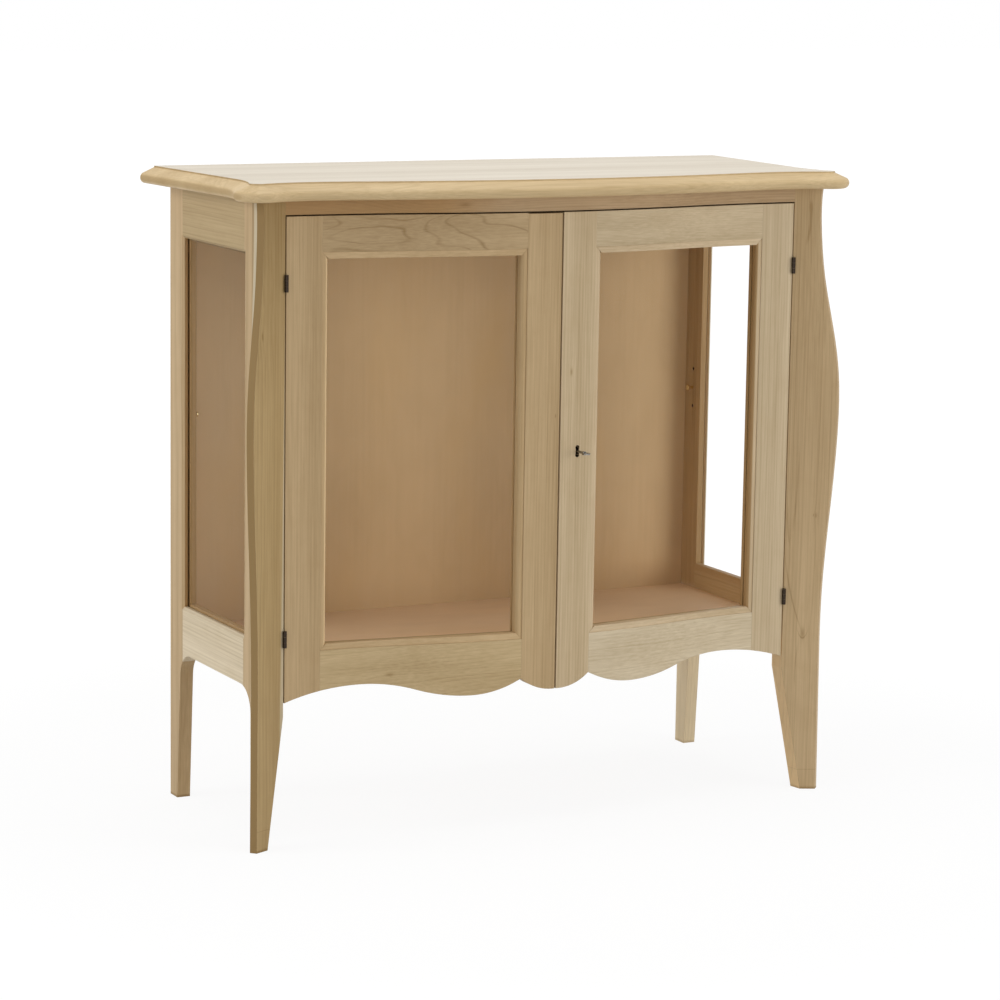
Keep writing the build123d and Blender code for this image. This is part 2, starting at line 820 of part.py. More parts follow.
bolt_tip = door_inner + bolt_set_in
with BuildPart() as lock_bolt:
    bolt_block(bolt_tip, bolt_tip + bolt_length, 0, Mode.ADD)
    plan_box(
        lock_x - bolt_notch / 2,
        lock_x + bolt_notch / 2,
        0,
        far,
        0,
        bolt_height - bolt_tall / 2 + bolt_notch_rise,
        Mode.SUBTRACT,
    )
keep("lock_bolt", lock_bolt)

# The key, with its bow level as it was left: a shank and collar on the key's axis, a flat ring and a bit
key_tail = lock_back + lock_wall + key_end_clearance
bow_start = key_front - 2 * key_bow_radius
bow_wall = key_bow_radius - key_bow_hole
with BuildPart() as key:
    for start, end, radius in (
        (key_tail, bow_start, key_shank_radius),
        (bow_start - key_collar_length, bow_start + bow_wall / 2, key_collar_radius),
    ):
        with BuildSketch(Plane((lock_x, rear_y - start, lock_height), x_dir=(1, 0, 0), z_dir=(0, -1, 0))):
            Circle(radius)
        extrude(amount=end - start)
    with BuildSketch(Plane.XY.offset(lock_height - key_bow_thickness / 2)):
        with Locations((lock_x, rear_y - key_front + key_bow_radius)):
            Circle(key_bow_radius)
            Circle(key_bow_hole, mode=Mode.SUBTRACT)
    extrude(amount=key_bow_thickness)
    bit_low = lock_height - key_bit_thickness / 2
    bit_high = lock_height + key_bit_thickness / 2
    plan_box(lock_x, lock_x + key_bit_reach, key_tail, key_tail + key_bit_length, bit_low, bit_high)
keep("key", key)

# The left meeting stile takes the strike plate and its mortise, and the seats of the two slide bolts
strike_back = -door_inner - strike_thickness
mortise_back = -door_inner - bolt_throw - strike_thickness


def strike_block(x0, x1, side_margin, end_margin, mode):
    """A block on the bolt's line in the left stile, larger than the bolt by these margins."""
    plan_box(
        x0,
        x1,
        lock_middle - bolt_thick / 2 - side_margin,
        lock_middle + bolt_thick / 2 + side_margin,
        bolt_height - bolt_tall / 2 - end_margin,
        bolt_height + bolt_tall / 2 + end_margin,
        mode,
    )


plate_low = floor_top + slide_plate_end_gap
plate_high = stop_bottom - slide_plate_end_gap
slide_plates = ((plate_high - slide_plate_length, plate_high), (plate_low, plate_low + slide_plate_length))

with BuildPart() as left_meeting_stile:
    add(mirrored(meeting_blank))
    strike_block(strike_back, 0, strike_side_margin, strike_end_margin, Mode.SUBTRACT)
    strike_block(mortise_back, 0, strike_play, strike_play, Mode.SUBTRACT)
    plan_box(-door_window_inner, 0, 0, far, door_top - stile_trim, far, Mode.SUBTRACT)
    for low, high in slide_plates:
        half = slide_plate_width / 2
        plan_box(-slide_inset - half, -slide_inset + half, 0, slide_seat_depth, low, high, Mode.SUBTRACT)
keep("door_meeting_stile_left", left_meeting_stile)

with BuildPart() as strike_plate:
    strike_block(strike_back, -door_inner, strike_side_margin, strike_end_margin, Mode.ADD)
    strike_block(strike_back, 0, strike_play, strike_play, Mode.SUBTRACT)
keep("strike_plate", strike_plate)


def slide_round(bottom, top, radius, mode=Mode.ADD):
    """A round on a slide bolt's axis between two heights."""
    with BuildSketch(Plane.XY.offset(bottom)) as ring:
        with Locations((-slide_inset, rear_y - slide_rod_depth)):
            Circle(radius)
    extrude(ring.sketch, amount=top - bottom, mode=mode)


def slide_guides(low, high):
    """A plate with a guide block at each end, bored for the rod."""
    with BuildPart() as guides:
        half = slide_plate_width / 2
        plan_box(-slide_inset - half, -slide_inset + half, slide_plate_back, slide_seat_depth, low, high)
        half = slide_guide_width / 2
        for start in (low, high - slide_guide_length):
            plan_box(
                -slide_inset - half,
                -slide_inset + half,
                slide_plate_back - 2 * slide_stand,
                slide_plate_back,
                start,
                start + slide_guide_length,
            )
        slide_round(low, high, slide_rod_radius + pin_fit, Mode.SUBTRACT)
    return guides


def slide_bolt(bottom, knob_height):
    """A rod with a small knob that stands into the cabinet."""
    with BuildPart() as bolt:
        slide_round(bottom, bottom + slide_rod_length, slide_rod_radius)
        knob_start = (-slide_inset, rear_y - slide_rod_depth, knob_height)
        knob_plane = Plane(knob_start, x_dir=(1, 0, 0), z_dir=(0, 1, 0))
        with BuildSketch(knob_plane) as knob:
            Circle(slide_knob_radius)
        extrude(knob.sketch, amount=slide_rod_radius + slide_knob_length)
    return bolt


knob_room = slide_guide_length + slide_knob_radius + slide_clearance
top_plate, bottom_plate = slide_plates
top_rod_start = stop_bottom - slide_clearance - slide_rod_length
bottom_rod_start = floor_top + slide_clearance
keep("slide_guides_top", slide_guides(*top_plate))
keep("slide_guides_bottom", slide_guides(*bottom_plate))
keep("slide_bolt_top", slide_bolt(top_rod_start, top_plate[0] + knob_room))
keep("slide_bolt_bottom", slide_bolt(bottom_rod_start, bottom_plate[1] - knob_room))

os.makedirs("parts", exist_ok=True)
for name, piece in pieces.items():
    export_step(piece, f"parts/{name}.step")
print(len(pieces), "pieces written")
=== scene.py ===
# %% [markdown]
# # Dressing a raw wood display cabinet
#
# The cabinet's solids come from CAD: a moulded top, swelling corner legs, two glazed doors on a
# serpentine front, glazed sides, and the small metalwork. This lesson gives every solid the surface
# that it has in a furniture workshop before any oil or stain: sanded pale wood, plywood, clear
# glass, brass, bronze and steel. It then adds the screws that hold the work together, and sets up
# the camera and the light.
#
# The solids could be rebuilt here with modifiers, but they are exact already, so they stay as they
# are, and all the work goes into what a solid can't say: grain, wear, dust and screws.

import json
import math
from dataclasses import dataclass, replace

import bpy
import numpy as np
from mathutils import Matrix, Vector


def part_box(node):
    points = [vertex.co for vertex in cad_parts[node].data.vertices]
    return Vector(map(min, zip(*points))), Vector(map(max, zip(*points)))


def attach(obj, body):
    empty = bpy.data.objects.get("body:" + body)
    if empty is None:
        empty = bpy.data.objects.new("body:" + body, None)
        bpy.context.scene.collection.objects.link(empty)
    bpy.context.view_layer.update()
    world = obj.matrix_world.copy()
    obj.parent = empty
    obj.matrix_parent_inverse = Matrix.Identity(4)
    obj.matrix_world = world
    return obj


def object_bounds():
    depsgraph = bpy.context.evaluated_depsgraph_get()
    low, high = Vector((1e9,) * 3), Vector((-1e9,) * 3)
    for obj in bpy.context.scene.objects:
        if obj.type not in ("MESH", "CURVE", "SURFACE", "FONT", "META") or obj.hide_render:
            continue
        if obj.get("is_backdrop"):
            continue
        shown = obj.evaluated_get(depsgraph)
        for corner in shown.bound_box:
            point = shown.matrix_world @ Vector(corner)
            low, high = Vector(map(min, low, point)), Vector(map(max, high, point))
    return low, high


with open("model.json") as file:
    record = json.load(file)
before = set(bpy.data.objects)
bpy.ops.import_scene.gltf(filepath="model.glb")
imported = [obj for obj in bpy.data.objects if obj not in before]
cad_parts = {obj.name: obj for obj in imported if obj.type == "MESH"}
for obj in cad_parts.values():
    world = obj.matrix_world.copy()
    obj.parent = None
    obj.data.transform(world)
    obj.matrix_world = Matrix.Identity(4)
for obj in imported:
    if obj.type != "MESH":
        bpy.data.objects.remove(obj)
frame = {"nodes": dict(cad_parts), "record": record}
solids_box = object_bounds()
cabinet = frame["nodes"]


# %% Places that are asked for often
def middle_of(name):
    """The middle of a solid's box."""
    low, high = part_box(name)
    return (low + high) / 2


def halves_of(name, level):
    """Half a solid's width along a level axis, and half its height."""
    low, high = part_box(name)
    return (high - low)["xyz".index(level)] / 2, (high.z - low.z) / 2


print("the top's middle is", round(middle_of("top_board").z, 3), "m up")

# %% [markdown]
# ## Shader sums written as sums
#
# A wood pattern is mostly arithmetic on positions. It could be wired by hand, one Math node at a
# time, but then nobody can read the formula again. Here a small class holds one socket, and its
# operators add the Math nodes, so that the formula stays readable in the code.


# %% A socket that can be added and multiplied
class Flow:
    """One output of a shader tree. A sum or product of flows adds its Math node to the tree."""

    def __init__(self, socket):
        self.socket = socket

    def maths(self, operation, *terms, limit=False):
        node = self.socket.id_data.nodes.new("ShaderNodeMath")
        node.operation = operation
        node.use_clamp = limit
        for place, term in enumerate(terms):
            connect(node.inputs[place], term)
        return Flow(node.outputs[0])

    def __add__(self, other):
        return self.maths("ADD", self, other)

    def __sub__(self, other):
        return self.maths("SUBTRACT", self, other)

    def __rsub__(self, other):
        return self.maths("SUBTRACT", other, self)

    def __mul__(self, other):
        return self.maths("MULTIPLY", self, other)

    def __truediv__(self, other):
        return self.maths("DIVIDE", self, other)

    def __pow__(self, other):
        return self.maths("POWER", self, other)

    def __rpow__(self, other):
        return self.maths("POWER", other, self)

    def __abs__(self):
        return self.maths("ABSOLUTE", self)

    __radd__ = __add__
    __rmul__ = __mul__

    def smaller(self, other):
        return self.maths("MINIMUM", self, other)

    def below(self, other):
        return self.maths("LESS_THAN", self, other)

    def ramp(self, low, high):
        """0 at low, 1 at high, straight between them and flat beyond."""
        return self.maths("MULTIPLY_ADD", self, 1 / (high - low), low / (low - high), limit=True)


def connect(target, value):
    """Links a flow to a socket, or sets the socket to a plain number, vector or colour."""
    if isinstance(value, Flow):
        target.id_data.links.new(value.socket, target)
    else:
        target.default_value = value


print("a flow stands for one socket, and its operators add Math nodes")

# %% [markdown]
# ## A finish on the bench
#
# Every other node comes from one method, which sets the node's own settings first, because they
# decide which sockets it has. The floor and the sky need only that bench. A finish starts from the
# position on the object, in metres, so that grain keeps its real size on every piece. The bevel node
# finds sharp edges by looking round each point, and so gives the sanded arris and the place of wear.


# %% A tree of nodes being wired
class Bench:
    """A shader tree while it is being wired, with one method for every kind of node."""

    def __init__(self, tree):
        self.tree = tree
        self.tree.nodes.clear()

    def node(self, kind, settings, values, output=0):
        """A node of any kind: its settings, then the values or links of its sockets."""
        node = self.tree.nodes.new("ShaderNode" + kind)
        for name, setting in settings.items():
            setattr(node, name, setting)
        for name, value in values.items():
            connect(node.inputs[name], value)
        return Flow(node.outputs[output]) if len(node.outputs) else node

    def split(self, vector):
        """The three parts of a vector."""
        return [self.node("SeparateXYZ", {}, {"Vector": vector}, axis) for axis in "XYZ"]

    def noise(self, scales, parts, detail=2.0, seed=0.0):
        """Soft noise from -0.5 to 0.5, whose scales are blotches to the metre on each axis."""
        spread = [part * scale for part, scale in zip(parts, scales)]
        where = self.node("CombineXYZ", {}, dict(zip("XYZ", spread)))
        values = {"Vector": where, "W": seed, "Scale": 1.0, "Detail": detail}
        return self.node("TexNoise", {"noise_dimensions": "4D"}, values, "Fac") - 0.5

    def blend(self, share, first, second):
        """Two colours mixed by a share from 0 to 1."""
        values = {0: share, 6: (*first, 1) if isinstance(first, tuple) else first}
        values[7] = (*second, 1) if isinstance(second, tuple) else second
        return self.node("Mix", {"data_type": "RGBA"}, values, 2)


def tint(colour, *shares):
    """A colour with its red, green and blue multiplied, one share for all or one for each."""
    shares = shares * 3 if len(shares) == 1 else shares
    return tuple(part * share for part, share in zip(colour, shares))


print("half the light of a tan is", tint((0.5, 0.4, 0.2), 0.5))


# %% A material being made up
class Finish(Bench):
    """A material while it is being made up, with what every surface starts from."""

    def __init__(self, name):
        self.material = bpy.data.materials.new(name)
        self.material.use_nodes = True
        super().__init__(self.material.node_tree)
        self.place = self.node("TexCoord", {}, {}, "Object")
        self.facing = self.node("TexCoord", {}, {}, "Normal")

    def arris(self, radius):
        """How near a sharp edge is, from 0 to 1, and the normal that a rounded edge would have."""
        rounded = self.node("Bevel", {"samples": 4}, {"Radius": radius})
        flat = self.node("NewGeometry", {}, {}, "True Normal")
        pair = {0: rounded, 1: flat}
        likeness = self.node("VectorMath", {"operation": "DOT_PRODUCT"}, pair, "Value")
        return (1.0 - likeness).ramp(0.01, 0.15), rounded

    def bump(self, height, depth, normal):
        """The normal of a surface whose height flow, from 0 to 1, stands for a depth in metres."""
        values = {"Strength": 1.0, "Distance": depth, "Height": height, "Normal": normal}
        return self.node("Bump", {}, values)

    def surface(self, **sockets):
        """The finished surface, with the shader's sockets by name."""
        values = {name.replace("_", " "): value for name, value in sockets.items()}
        shader = self.node("BsdfPrincipled", {}, values)
        self.node("OutputMaterial", {}, {"Surface": shader})
        return self.material


print("a finish knows where each point is and where it faces")

# %% [markdown]
# ## How a board sits in the tree
#
# Wood figure isn't painted on a board, it is cut through it: every face shows the same growth
# rings, as lines on the sides and arcs on the end. So the pattern is worked out in the solid, as
# the distance from the heart of the tree, which lies beside the board and leans a little. A board
# with its heart far off at the side shows straight lines, and one cut just beside the heart shows
# tall arches. The same formula gives both, with other numbers.


# %% The cut of a board
@dataclass
class Cut:
    """How a board was cut: the heart of the tree from the board's middle, its lean, the width of a
    ring and how far it wanders, in metres, and how strongly the rings show."""

    heart: tuple
    lean: float = 0.02
    ring: float = 0.0055
    wander: float = 0.010
    contrast: float = 0.3
    seed: float = 0.0
    knots: tuple = ()


GRAIN_TURN = {"x": (0, 0, 0), "y": (0, 0, math.pi / 2), "z": (0, -math.pi / 2, 0)}


def board_place(finish, grain, middle):
    """Along, across and through a board, in metres from its middle."""
    values = {"Vector": finish.place, "Location": middle, "Rotation": GRAIN_TURN[grain]}
    return finish.split(finish.node("Mapping", {"vector_type": "TEXTURE"}, values))


def on_board(point, grain, middle):
    """The same three figures for one known point of the cabinet."""
    x, y, z = (a - b for a, b in zip(point, middle))
    return {"x": (x, y, z), "y": (y, -x, z), "z": (z, y, -x)}[grain]


print("grain may run along", ", ".join(GRAIN_TURN))

# %% [markdown]
# ## Rings, bands and fibres
#
# Pale raw wood has four sizes of detail. Rings are lines a few millimetres apart, dark at their
# outer side and cut off sharply. Bands are broad, weak changes of tone across the board. Fibres are
# hair-fine streaks, and pores are short dark dashes. A knot pushes the rings aside round a dark
# core. Each of them moves one tone flow, and the tone then picks the colour, as one pigment in the
# wood would. Each noise has its scales along, across and through the board, as blotches to the
# metre, and a low figure along the grain draws it out into streaks.

# %% The sizes of the detail
WANDER = (1.6, 9, 9)
SPACING = (0.3, 34, 34)
BANDS = (0.7, 22, 22)
FIBRES = (9, 520, 520)
PORES = (70, 1500, 1500)
ALONG_A_KNOT = 0.11
print("the coarsest fibre is", round(1000 / FIBRES[1], 1), "by", round(1000 / FIBRES[0]), "mm")


# %% Tone of the wood at a point
def knot_tone(parts, spot, size):
    """The bell 2^-(d/size)^2 round a spot, with d a third as long along the grain."""
    along, across, through = (part - place for part, place in zip(parts, spot))
    reach = along * along * ALONG_A_KNOT + across * across + through * through
    return 2.0 ** (reach * (-1 / size**2))


def late_wood(finish, rings, seed):
    """Dark towards the end of each ring, as the square of its share, then cut off, and stronger in
    some rings than in others."""
    part = rings.maths("FRACT", rings)
    number = rings.maths("FLOOR", rings)
    strength = finish.node("TexWhiteNoise", {"noise_dimensions": "1D"}, {"W": number + seed}, "Value")
    return part.ramp(0.2, 0.9) ** 2.0 * part.ramp(1.0, 0.92) * (strength * 0.8 + 0.2)


def wood_tone(finish, parts, cut):
    """Tone from 0, pale, to 1, dark, and height from 0 to 1.
    The heart's distance is sqrt(across^2 + through^2) plus noise, and its parts of a ring width
    give the rings."""
    along, across, through = parts
    seed = cut.seed
    wander = finish.noise(WANDER, parts, 2.0, seed) * cut.wander
    spacing = finish.noise(SPACING, parts, 1.0, seed + 7) * 0.012
    beside = across - cut.heart[0] + along * cut.lean
    behind = through - cut.heart[1]
    distance = (beside * beside + behind * behind) ** 0.5 + wander + spacing
    core = 0.0
    for spot, size in cut.knots:
        distance = distance + knot_tone(parts, spot, size * 2.4) * (size * 1.1)
        core = knot_tone(parts, spot, size * 0.5) + core
    late = late_wood(finish, distance / cut.ring, seed)
    bands = finish.noise(BANDS, parts, 3.0, seed + 5)
    fibres = finish.noise(FIBRES, parts, 3.0, seed + 9)
    pores = finish.noise(PORES, parts, 1.0, seed + 3).ramp(0.12, 0.3)
    tone = late * cut.contrast + bands * 1.2 + fibres * 0.9 + pores * 0.2 + core * 0.7 + 0.32
    height = fibres * 0.6 + late * 0.3 + 0.6 - pores * 0.6
    return tone, height


print("rings, bands, fibres and pores make one tone")

# %% [markdown]
# ## Raw sanded wood
#
# The tone picks a colour between the pale and the dark of one board. End grain drinks more light,
# so faces square to the grain go darker and rougher. Handling and sanding leave the arrises a
# little paler, in patches. Raw wood has no varnish, so it is rough, but its fibres still shine
# weakly at a low angle. Each shade could be a colour of its own, but as shares of the board's colour
# they suit every board.

# %% Shades of a board, as shares of its red, green and blue
PALEST = (1.2, 1.22, 1.3)
DARKEST = (0.7, 0.64, 0.54)
END_GRAIN = (0.62, 0.56, 0.47)
RUBBED = (1.25, 1.28, 1.38)
HANDLED = (0.8, 0.72, 0.6)
print("end grain keeps", END_GRAIN[0], "of a board's red and", END_GRAIN[2], "of its blue")


# %% The wood finish
def sanded_wood(name, grain, colour, cut, marks=None, others=()):
    """Wood with one grain direction, with marks in its tone and other colours where it has them."""
    finish = Finish(name + "_finish")
    tone, height = wood_tone(finish, board_place(finish, grain, middle_of(name)), cut)
    if marks:
        tone = tone + marks(finish)
    end = abs(finish.split(finish.facing)["xyz".index(grain)]).ramp(0.75, 0.95)
    return wood_surface(finish, tone, height, end, colour, others)


def wood_surface(finish, tone, height, end, colour, others=()):
    """The shader that all solid wood shares. Each other colour comes with its share's function."""
    edge, rounded = finish.arris(radius=0.0011)
    patches = finish.noise((26, 26, 26), finish.split(finish.place), 3.0)
    wood = finish.blend(tone, tint(colour, *PALEST), tint(colour, *DARKEST))
    wood = finish.blend(end * 0.6, wood, tint(colour, *END_GRAIN))
    wood = finish.blend(edge * (patches * 1.2 + 0.3), wood, tint(colour, *RUBBED))
    wood = finish.blend((patches * 0.7).ramp(0.0, 1.0), wood, tint(colour, *HANDLED))
    for share, other in others:
        grained = finish.blend(tone, tint(other, 1.12), tint(other, 0.82, 0.78, 0.72))
        wood = finish.blend(share(finish), wood, grained)
    roughness = tone * 0.1 + end * 0.15 + 0.5
    normal = finish.bump(height, depth=0.00012, normal=rounded)
    return finish.surface(
        Base_Color=wood, Roughness=roughness, Normal=normal, Specular_IOR_Level=0.4
    )


print("sanded wood is ready")

# %% [markdown]
# ## Strips mitred round a window
#
# The mouldings and beads are four strips in one solid, and the grain follows each strip round the
# window. So the material works out which strip a point is on: an upright one where the nearest
# border of the whole frame is at its left or right. The two grain directions are then mixed by that
# answer, before any pattern is made, so that the pattern is worked out only once.


# %% The finish of a mitred frame
MITRE_REACH = 0.0009


def mitred_wood(name, level, colour, cut, others=()):
    """Wood whose grain runs upright on two strips and along the level axis on the other two."""
    finish = Finish(name + "_finish")
    middle = middle_of(name)
    upright = board_place(finish, "z", middle)
    lying = board_place(finish, level, middle)
    half_width, half_height = halves_of(name, level)
    to_side = half_width - abs(lying[0])
    to_end = half_height - abs(upright[0])
    on_upright = to_side.below(to_end)
    parts = [a * on_upright + b * (1.0 - on_upright) for a, b in zip(upright, lying)]
    tone, height = wood_tone(finish, parts, cut)
    mitre = abs(to_side - to_end).ramp(MITRE_REACH, 0.0)
    return wood_surface(finish, tone + mitre * 0.35, height, 0.0, colour, others)


print("the dark line of a mitre fades within", 1000 * MITRE_REACH, "mm")

# %% [markdown]
# ## Plywood
#
# The outer veneer of plywood is peeled off a turning log, so the knife follows a ring, and the ring
# comes and goes in wide, lazy figures in place of lines. Noise stretched along the grain gives those
# figures when its steps are read as contours. Fine checks run with the grain, and a few resin flecks
# and amber patches lie in it.

# %% The sizes of a veneer's detail
DRIFT = (2.4, 4.5, 4.5)
STREAKS = (5, 260, 260)
CHECKS = (40, 1400, 1400)
FLECKS = (16, 60, 60)
AMBER = (3, 7, 7)
print("a veneer's figure is about", round(1000 / DRIFT[1]), "mm wide")


# %% The plywood finish
def peeled_veneer(name, grain, colour, seed):
    """Veneer whose tone is the height in a stretched noise, with its contours faintly drawn."""
    finish = Finish(name + "_finish")
    parts = board_place(finish, grain, middle_of(name))
    drift = finish.noise(DRIFT, parts, 3.0, seed)
    levels = drift * 14
    contour = levels.maths("FRACT", levels).ramp(0.3, 0.95) * 0.06
    streaks = finish.noise(STREAKS, parts, 4.0, seed + 2)
    checks = finish.noise(CHECKS, parts, 1.0, seed + 4).ramp(0.14, 0.3)
    flecks = finish.noise(FLECKS, parts, 2.0, seed + 6).ramp(0.27, 0.36)
    amber = finish.noise(AMBER, parts, 2.0, seed + 8).ramp(0.0, 0.3)
    tone = drift * 1.1 + contour + streaks * 0.28 + checks * 0.14 + 0.4
    edge, rounded = finish.arris(radius=0.0008)
    veneer = finish.blend(tone, tint(colour, 1.14), tint(colour, 0.8, 0.75, 0.68))
    veneer = finish.blend(amber * 0.5, veneer, tint(colour, 1.05, 0.95, 0.72))
    veneer = finish.blend(flecks * 0.5, veneer, tint(colour, 1.15, 0.85, 0.5))
    veneer = finish.blend(edge * 0.3, veneer, tint(colour, 0.7, 0.62, 0.52))
    normal = finish.bump(streaks * 0.5 - checks * 0.5 + 0.6, depth=0.00008, normal=rounded)
    return finish.surface(
        Base_Color=veneer, Roughness=streaks * 0.1 + 0.52, Normal=normal, Specular_IOR_Level=0.35
    )


print("plywood is ready")

# %% [markdown]
# ## Glass
#
# Clear glass shows itself only by what it mirrors, which is little straight on and far more at a low
# angle. A Fresnel node gives that share, but on a pane's inner face it takes the glass to be outside
# and mirrors nearly everything. The facing angle has no such side, so its fifth power is used.
# Refraction would need many bounces and leave the inside dark, so the pane is a mirror that is nearly
# all hole: the alpha is the mirrored share. All round the cabinet is white here, and plain glass would
# veil the inside, so the share is that of glass with an anti-glare coat. Dust gathers by the beads.


# %% The glass finish
STRAIGHT_ON, SLANTED = 0.003, 0.1
CLEAR_TINT, DUST_COLOUR = (0.90, 0.97, 0.94), (0.62, 0.60, 0.55)


def clear_pane(name, level):
    """A mirror whose alpha is 0.003 + 0.1 slant^5, plus dust that fades 15 mm from the border."""
    finish = Finish(name + "_finish")
    parts = board_place(finish, level, middle_of(name))
    half_width, half_height = halves_of(name, level)
    to_border = (half_width - abs(parts[0])).smaller(half_height - abs(parts[2]))
    smears = finish.noise((18, 18, 9), parts, 4.0).ramp(-0.1, 0.35)
    dust = to_border.ramp(0.015, 0.0) ** 2.0 * smears * 0.06 + smears * 0.0015
    slant = finish.node("LayerWeight", {}, {"Blend": 0.5}, "Facing")
    mirrored = slant**5.0 * SLANTED + STRAIGHT_ON
    return finish.surface(
        Base_Color=finish.blend(dust * 6, CLEAR_TINT, DUST_COLOUR),
        Metallic=1.0 - dust * 6,
        Roughness=smears * 0.05 + dust * 2,
        Alpha=mirrored + dust,
    )


print("a clean pane mirrors", STRAIGHT_ON, "of the light straight on")

# %% [markdown]
# ## Brass, bronze and steel
#
# Small metalwork differs in colour and in how it was worked, and otherwise behaves alike: fine
# scratches run in every direction, a dull film lies in patches, and the edges are rubbed bright.
# One recipe with a body colour, a bright colour and a roughness makes all of it.


# %% The metal finish
def worked_metal(name, body, bright, rough):
    """Metal with a film in patches, scratches in two directions and rubbed edges."""
    finish = Finish(name)
    parts = finish.split(finish.place)
    film = finish.noise((260, 260, 260), parts, 3.0)
    across = finish.noise((2600, 2600, 130), parts, 2.0, 3.0)
    along = finish.noise((150, 2600, 2600), parts, 2.0, 6.0)
    scratches = across * 0.6 + along * 0.6
    edge, rounded = finish.arris(radius=0.0004)
    metal = finish.blend((film * 1.6).ramp(-0.3, 0.4), tint(body, 0.82), tint(body, 1.1))
    metal = finish.blend(edge * (film + 0.6), metal, bright)
    roughness = film * 0.25 + scratches * 0.2 + rough
    normal = finish.bump(scratches + 0.5, depth=0.00002, normal=rounded)
    return finish.surface(Base_Color=metal, Metallic=1.0, Roughness=roughness, Normal=normal)


METAL_LOOKS = {
    "dark_bronze": ((0.05, 0.037, 0.028), (0.34, 0.24, 0.13), 0.42),
    "pin_brass": ((0.86, 0.70, 0.38), (0.95, 0.82, 0.52), 0.06),
    "lock_brass": ((0.50, 0.36, 0.16), (0.82, 0.66, 0.38), 0.34),
    "bright_steel": ((0.27, 0.25, 0.22), (0.85, 0.83, 0.80), 0.2),
}
METALS = {name: worked_metal(name, *look) for name, look in METAL_LOOKS.items()}
print("metals:", ", ".join(METALS))

# %% [markdown]
# ## Which tree each board came from
#
# A real cabinet is made of many boards, and no two match. Uprights have their grain standing, rails
# have it lying, and the pieces of the sides run from front to back. Most boards are cut far from the
# heart of the tree and show straight lines. Six are cut nearer to it and show wider figures. Each
# board also gets its own seed, so that no figure is seen twice.


# %% Grain and cut of each board
def grain_of(name):
    """The axis that a board's grain follows."""
    if "leg" in name or "stile" in name:
        return "z"
    if name.startswith(("side_", "floor_bearer", "top_cleat")):
        return "y"
    return "x"


OWN_CUTS = {
    "door_top_rail_left": Cut((0.03, 0.09), lean=0.01, ring=0.0042, wander=0.016, contrast=0.12),
    "door_top_rail_right": Cut((0.03, 0.11), ring=0.0035, wander=0.012, contrast=0.25),
    "front_top_rail": Cut((-0.03, 0.04), lean=-0.04, ring=0.004, wander=0.016, contrast=0.4),
    "door_bottom_rail_left": Cut((0.03, 0.10), ring=0.005, wander=0.014, contrast=0.27),
    "front_leg_right": Cut((0.01, 0.05), lean=0.012, ring=0.006, wander=0.014, contrast=0.32),
    "top_board": Cut((0.05, -0.3), ring=0.0045, wander=0.012, contrast=0.2),
}


def cut_of(name, place):
    """A board's own cut, or else a straight one that differs from board to board."""
    side = 1 if place % 2 else -1
    straight = Cut((0.03 * side, 0.1 + 0.02 * (place % 5)), lean=0.004 * (place % 7 - 3))
    return replace(OWN_CUTS.get(name, straight), seed=1.7 * place)


print(len(OWN_CUTS), "boards have a cut of their own")

# %% [markdown]
# ## Knots
#
# A knot is the foot of a branch that the tree grew over. Only a few boards have one, because a joiner
# saws round the large ones. A knot's place could be a point of the cabinet, but then a taller cabinet
# would leave it behind, so it is given in shares of its board's box, and its size in metres.

# %% Knots, each with its place and size
KNOTS = {
    "front_leg_right": (
        ((0.3967, 0.3275, 0.2638), 0.005),
        ((0.5732, 0.2127, 0.4625), 0.0022),
        ((0.5241, 0.2382, 0.4632), 0.0012),
        ((0.3383, 0.3913, 0.9691), 0.004),
    ),
    "front_leg_left": (
        ((0.2398, 0.1834, 0.3708), 0.0016),
        ((0.2703, 0.1974, 0.3176), 0.0016),
        ((0.3844, 0.2191, 0.7977), 0.003),
    ),
    "door_bottom_rail_left": (((0.345, 0.458, 0.4622), 0.004),),
    "door_meeting_stile_left": (((0.8872, 0.0, 0.579), 0.0016),),
    "door_meeting_stile_right": (((0.3026, 0.0078, 0.6682), 0.003),),
    "front_top_rail": (((0.3174, 0.1374, 0.7079), 0.006),),
}


def in_box(name, shares):
    """The point at given shares of the way through a solid's box."""
    low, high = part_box(name)
    return [a + (b - a) * share for a, b, share in zip(low, high, shares)]


def knots_of(name, grain):
    """A board's knots, measured along, across and through it."""
    middle = middle_of(name)
    spots = KNOTS.get(name, ())
    return [(on_board(in_box(name, shares), grain, middle), size) for shares, size in spots]


print(sum(map(len, KNOTS.values())), "knots on", len(KNOTS), "boards")

# %% [markdown]
# ## Marks on the legs and on one rail
#
# Some marks follow no ring. Each front leg has a fine joint low down, and dirt in its foot. Both are
# darker high up, partly in the wood and partly as painted shade under the top's overhang, and the
# left one is also darker along its square-cut outer edge. On the right one, dark streamers run up and
# down from the large knot, where the grain closed over it, and a dark bowl lies under it. The left
# door's top rail has fine wandering lines, like a map's. All of these are plain formulas of the place,
# added to the tone, where a painted image would have to be unwrapped for every board.

# %% Marks of the feet and of the left leg
FOOT_JOINT = 0.033


def foot_marks(finish):
    """A joint line a millimetre wide, slightly darker wood below it, and dirt in the foot."""
    height = finish.split(finish.place)[2]
    line = abs(height - FOOT_JOINT).ramp(0.0009, 0.0002) * 0.35
    return line + height.ramp(FOOT_JOINT + 0.0002, FOOT_JOINT) * 0.05 + dark_foot(finish)


def dark_foot(finish):
    """Dirt in the end of a leg, in its lowest few millimetres."""
    return finish.split(finish.place)[2].ramp(0.005, 0.0) * 1.1


def left_leg_marks(finish):
    """Darker high up, partly as heartwood and partly as painted shade under the top's overhang, and
    darker along the square-cut outer edge, which faces the corner.
    """
    x, y, z = finish.split(finish.facing)
    high = finish.split(finish.place)[2].ramp(0.68, 0.98) * 0.5
    return foot_marks(finish) + high + (x + y).ramp(-1.25, -1.38) * 0.9


